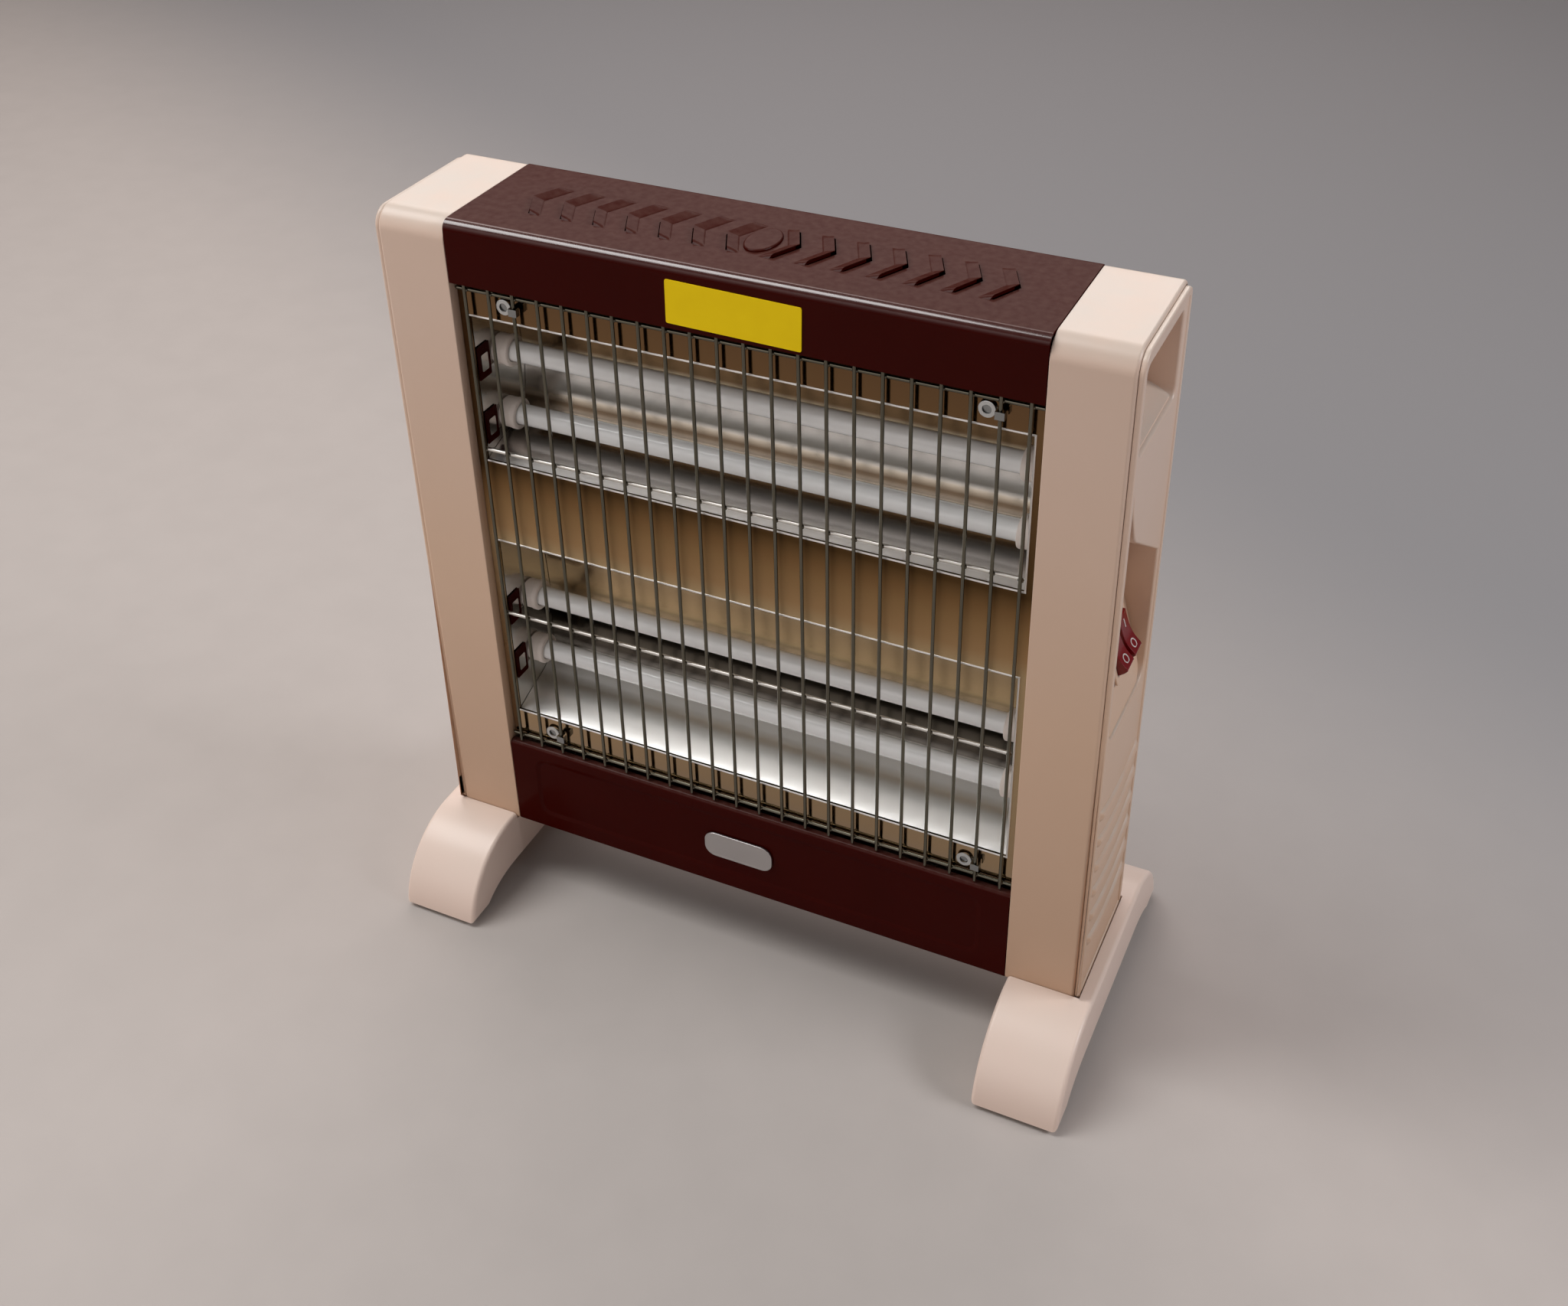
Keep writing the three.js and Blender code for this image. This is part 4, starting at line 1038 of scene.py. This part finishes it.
def rod(radius, start, end, place, upright=False):  # a wire with softly domed ends
    dome = ((0, 0), (0, 0.45), (0.2, 0.8), (0.6, 1))  # shares of the radius: along, out
    profile = [(start + along * radius, out * radius) for along, out in dome]
    profile += [(end - along * radius, out * radius) for along, out in reversed(dome)]
    bm = revolve(profile, 12)
    if upright:
        turnBy(bm, -90, "Y")
    return moveBy(bm, place)


def buildGrille():
    bm, litCrossing = bmesh.new(), bmesh.new()
    columns = [(index - (grille["count"] - 1) / 2) * grille["pitch"] for index in range(grille["count"])]
    for x in columns:
        addCopy(bm, rod(grille["radius"], *grille["zs"], (x, grille["y"], 0), upright=True))
    for z, half in grille["crossWires"]:
        # the middle cross wires take the light copy of the chrome, painted highlight; the end wires stay with
        # the dark uprights, painted shade
        strand = bm if half > trough["halfWidth"] else litCrossing
        addCopy(strand, rod(grille["crossRadius"], -half, half, (0, grille["crossY"], z)))
        for x in columns:
            nugget = bmesh.new()
            bmesh.ops.create_uvsphere(nugget, u_segments=10, v_segments=6, radius=1)
            bmesh.ops.scale(nugget, vec=grille["weld"], verts=nugget.verts)
            addCopy(bm, moveBy(nugget, (x, (grille["y"] + grille["crossY"]) / 2, z)))
    finishPiece("crossWires", litCrossing, litChromeWire)
    finishPiece("wireGrille", bm, shadedChromeWire, ["grille"])


def buildScrew(level, side, sign):  # drawn along X from its seat, then turned to the front
    radius, rise, washer = screw["headRadius"], screw["rise"], screw["washer"]
    shank, length = screw["shank"]
    bm = revolve([(-length - 1, 0), (-length, shank), (0, shank), (0, radius), (0.5, radius),
                  (1.3, radius - 0.3), (2.0, radius - 1.0), (rise - 0.15, radius - 2.0), (rise, 0)], 32)
    cross = bmesh.new()
    for turn in screw["turns"]:
        addCopy(cross, turnBy(block(*screw["cross"]), turn, "X"))
    bm = cutAway(bm, cross)
    addCopy(bm, revolve([(-0.35, 2.4), (-0.35, washer - 0.2), (-0.15, washer), (0.15, washer - 0.1),
                         (0.3, washer - 0.5), (0.3, 2.4), (-0.35, 2.4)], 32))
    moveBy(turnBy(bm, -90, "Z"), (sign * screw["x"], screw["seat"], screw["zs"][level]))
    finishPiece(f"{level}{side.title()}Screw", bm, screwSteel, [f"grille_screw_{level}_{side}"])


def buildClip(level, side, sign):  # a strip from under the screw head, hooked over the next upright wire
    sheetDepth, back, front, tip = clip["sheet"], clip["back"], clip["front"], clip["tip"]
    start, rise, end = [sign * screw["x"] + clip[name] for name in ("start", "rise", "end")]
    path = [(start, back), (start, back - sheetDepth), (rise, back - sheetDepth), (rise, front), (end, front),
            (end, tip), (end - sheetDepth, tip), (end - sheetDepth, front + sheetDepth),
            (rise + sheetDepth, front + sheetDepth), (rise + sheetDepth, back)]
    low = screw["zs"][level] - clip["drop"] - clip["half"]
    bm = sweepOutline([(along, y, low) for along, y in path], (0, 0, 2 * clip["half"]))
    roundEdges(bm, lambda e: runsAlong(e, 2), clip["bend"], 3)
    roundEdges(bm, lambda e: not runsAlong(e, 2) and isSharp(e, 60), clip["edge"], 2)
    finishPiece(f"{level}{side.title()}Clip", bm, zincPlate, [f"grille_clip_{level}_{side}"])


buildGrille()
for level in screw["zs"]:
    for side, sign in sides:
        buildScrew(level, side, sign)
        buildClip(level, side, sign)
print("grille and fixings drawn")

# two rocker switches in one frame on the recess floor
rocker = {"width": 11.6, "pivot": -1, "reach": 12.8, "side": 0.8, "brow": 0.7,
          "ends": ((-165, -175, -185, -195, -207, -219), (18, 8, -4, -15)),  # degrees about the pivot
          "face": ((-8.4, 6.6), (-6, 5.3), (-4, 4.4), (-2, 3.75), (0, 3.3), (2.5, 3.0), (5, 2.9), (9, 2.9)),
          "ring": (2.7, 0.75, 0.3), "ringPlace": (-5.7, 5.0), "ringTilt": 24,
          "bar": ((4.2, 9.2), (-0.45, 0.45), (2.8, 3.1))}


def buildSwitchBlock():
    along, across, depth, proud = switch["body"]
    bm = block((-along, along), (-across, across), (-depth, proud))
    wide, deep, tall = switch["bezel"]
    corner, edge = switch["bezelRound"]
    rim = block((-wide, wide), (-deep, deep), (0, tall))
    roundEdges(rim, lambda e: runsAlong(e, 2), corner, 4)
    roundEdges(rim, lambda e: middleOf(e).z > tall - 0.01, edge, 3)
    wells = bmesh.new()
    reach, half, depth = switch["well"]
    for middle in (-switch["pitch"] / 2, switch["pitch"] / 2):
        addCopy(wells, block((-reach, reach), (middle - half, middle + half), (-depth, 5)))
    rim = cutAway(rim, wells.copy())
    bm = cutAway(bm, wells)
    for part in (rim, bm):
        ontoSlope(part)
    finishPiece("switchRim", rim, creamPlastic)
    finishPiece("switchBlock", bm, blackPlastic, ["switch_block"])


def buildRocker(place, side):
    reach, pivot, half = rocker["reach"], rocker["pivot"], rocker["width"] / 2
    lowEnd, highEnd = [[(reach * cos(radians(a)), pivot + reach * sin(radians(a))) for a in end]
                       for end in rocker["ends"]]
    middle = side * switch["pitch"] / 2
    points = [(a, middle - half, h) for a, h in lowEnd + list(rocker["face"]) + highEnd]
    bm = sweepOutline(points, (0, 2 * half, 0))
    roundEdges(bm, lambda e: not runsAlong(e, 1) and middleOf(e).z > 1, rocker["side"], 4)
    roundEdges(bm, lambda e: runsAlong(e, 1) and isSharp(e, 30) and middleOf(e).z > 1, rocker["brow"], 4)
    ontoSlope(bm)
    rides = f"rocker_{place}"
    finishPiece(f"{place}Rocker", bm, redPlastic, [f"rocker_{place}"], rides, sharp=45)
    outer, wide, tall = rocker["ring"]
    marks = revolve([(0, outer - wide), (tall, outer - wide + 0.05), (tall, outer - 0.05), (0, outer),
                     (0, outer - wide)], 32)
    x, z = rocker["ringPlace"]
    moveBy(turnBy(marks, rocker["ringTilt"] - 90, "Y"), (x, middle, z))
    addCopy(marks, moveBy(block(*rocker["bar"]), (0, middle, 0)))
    ontoSlope(marks)
    finishPiece(f"{place}RockerMarks", marks, whiteMark, rides=rides)


buildSwitchBlock()
buildRocker("front", -1)
buildRocker("rear", 1)
print("switches drawn")

# blank sticker and blank badge
sticker = {"xs": (-33, 40), "zs": (418, 441.5), "thickness": 0.3, "turn": 1.0, "corner": 1.0, "steps": 4}
badge = {"xs": (-28, 16), "zs": (67, 85), "thickness": 0.8, "corner": 7, "steps": 10, "edge": 0.35,
         "border": ((0.8, 0), (0.25, -0.12), (0.2, -0.05))}
plateBack = sheet["front"] - 0.3


def frontPlate(setup):
    bm = block(setup["xs"], (plateBack - setup["thickness"], plateBack + 0.25), setup["zs"])
    roundEdges(bm, lambda e: runsAlong(e, 1), setup["corner"], setup["steps"])
    return bm


def buildSticker():
    middle = (sum(sticker["xs"]) / 2, 0, sum(sticker["zs"]) / 2)
    bm = turnBy(frontPlate(sticker), sticker["turn"], "Y", middle)
    finishPiece("bandSticker", bm, yellowFilm, ["front_sticker"])


def buildBadge():
    bm = frontPlate(badge)
    front = plateBack - badge["thickness"]
    roundEdges(bm, lambda e: middleOf(e).y < front + 0.01 and isSharp(e), badge["edge"], 3)
    sinkFace(bm, largest(facesAt(bm, 1, front)), badge["border"])
    finishPiece("panelBadge", bm, silverFoil, ["front_badge"])


buildSticker()
buildBadge()

# the bushing in the rear sheet: (depth, radius)
bushing = [(38.5, 3.8), (38.5, 7.2), (38.8, 7.5), (41, 7.5), (41, 5.9), (42.8, 5.9), (42.8, 9.2), (43.1, 9.5),
           (44.7, 9.5), (45.2, 9), (46, 8.4), (48.6, 7.3), (49, 6.8), (49, 4.2), (48.7, 3.8), (38.5, 3.8)]


def buildBushing():
    x, z, _ = rearSheet["bushing"]
    bm = moveBy(turnBy(revolve(bushing, 36), 90, "Z"), (x, 0, z))
    finishPiece("cordBushing", bm, blackPlastic, ["cord_bushing"])


buildBushing()
dress(creamPlastic, "terminal_block")
dress(blackPlastic, "tilt_switch")
dress(wireSleeve, "supply_wires", "return_wire")
for side, _ in sides:
    dress(zincPlate, f"foot_screw_{side}_front", f"foot_screw_{side}_rear")
print("fittings drawn")


# floor and backdrop in one round sweep
def buildStage():
    radius, sweep, height = stage["radius"], stage["sweep"], stage["wall"]
    turns = [radians(degrees) for degrees in range(0, 91, 9)]
    bend = [(radius - sweep + sweep * sin(turn), sweep - sweep * cos(turn)) for turn in turns]
    profile = [(0, 0)] + bend + [(radius, height)]
    bm = spinChain([(along, 0, z) for along, z in profile], (0, 0, 1), stage["steps"], 0.0001)
    for face in bm.faces:
        face.smooth = True
        face.normal_update()
        if face.normal.z < -0.01 or face.normal.dot(Vector((*face.calc_center_median().xy, 0))) > 0.01:
            face.normal_flip()
    sweepObject = newPiece("studioSweep", bm)
    material, tree, shader = newMaterial("sweepFinish", 0.7)
    mottle = addMottle(tree, shader, stage["color"], tuple(0.94 * c for c in stage["color"]), 25.0, 0.5)
    away = addNode(tree, "VectorMath", {0: objectCoords(tree), 1: stage["darker"]}, operation="DOT_PRODUCT")
    start, end = stage["fade"]  # painted shade: the floor and backdrop get a little darker behind the object and to its right
    distance = addNode(tree, "MapRange", {"Value": away.outputs["Value"], "From Min": start, "From Max": end},
                       interpolation_type="SMOOTHSTEP")
    floor = mixColors(tree, "MIX", distance.outputs["Result"], mottle.outputs["Color"], (*stage["shadedFar"], 1))
    feed(tree, floor, shader.inputs["Base Color"])
    sweepObject.data.materials.append(material)


buildStage()
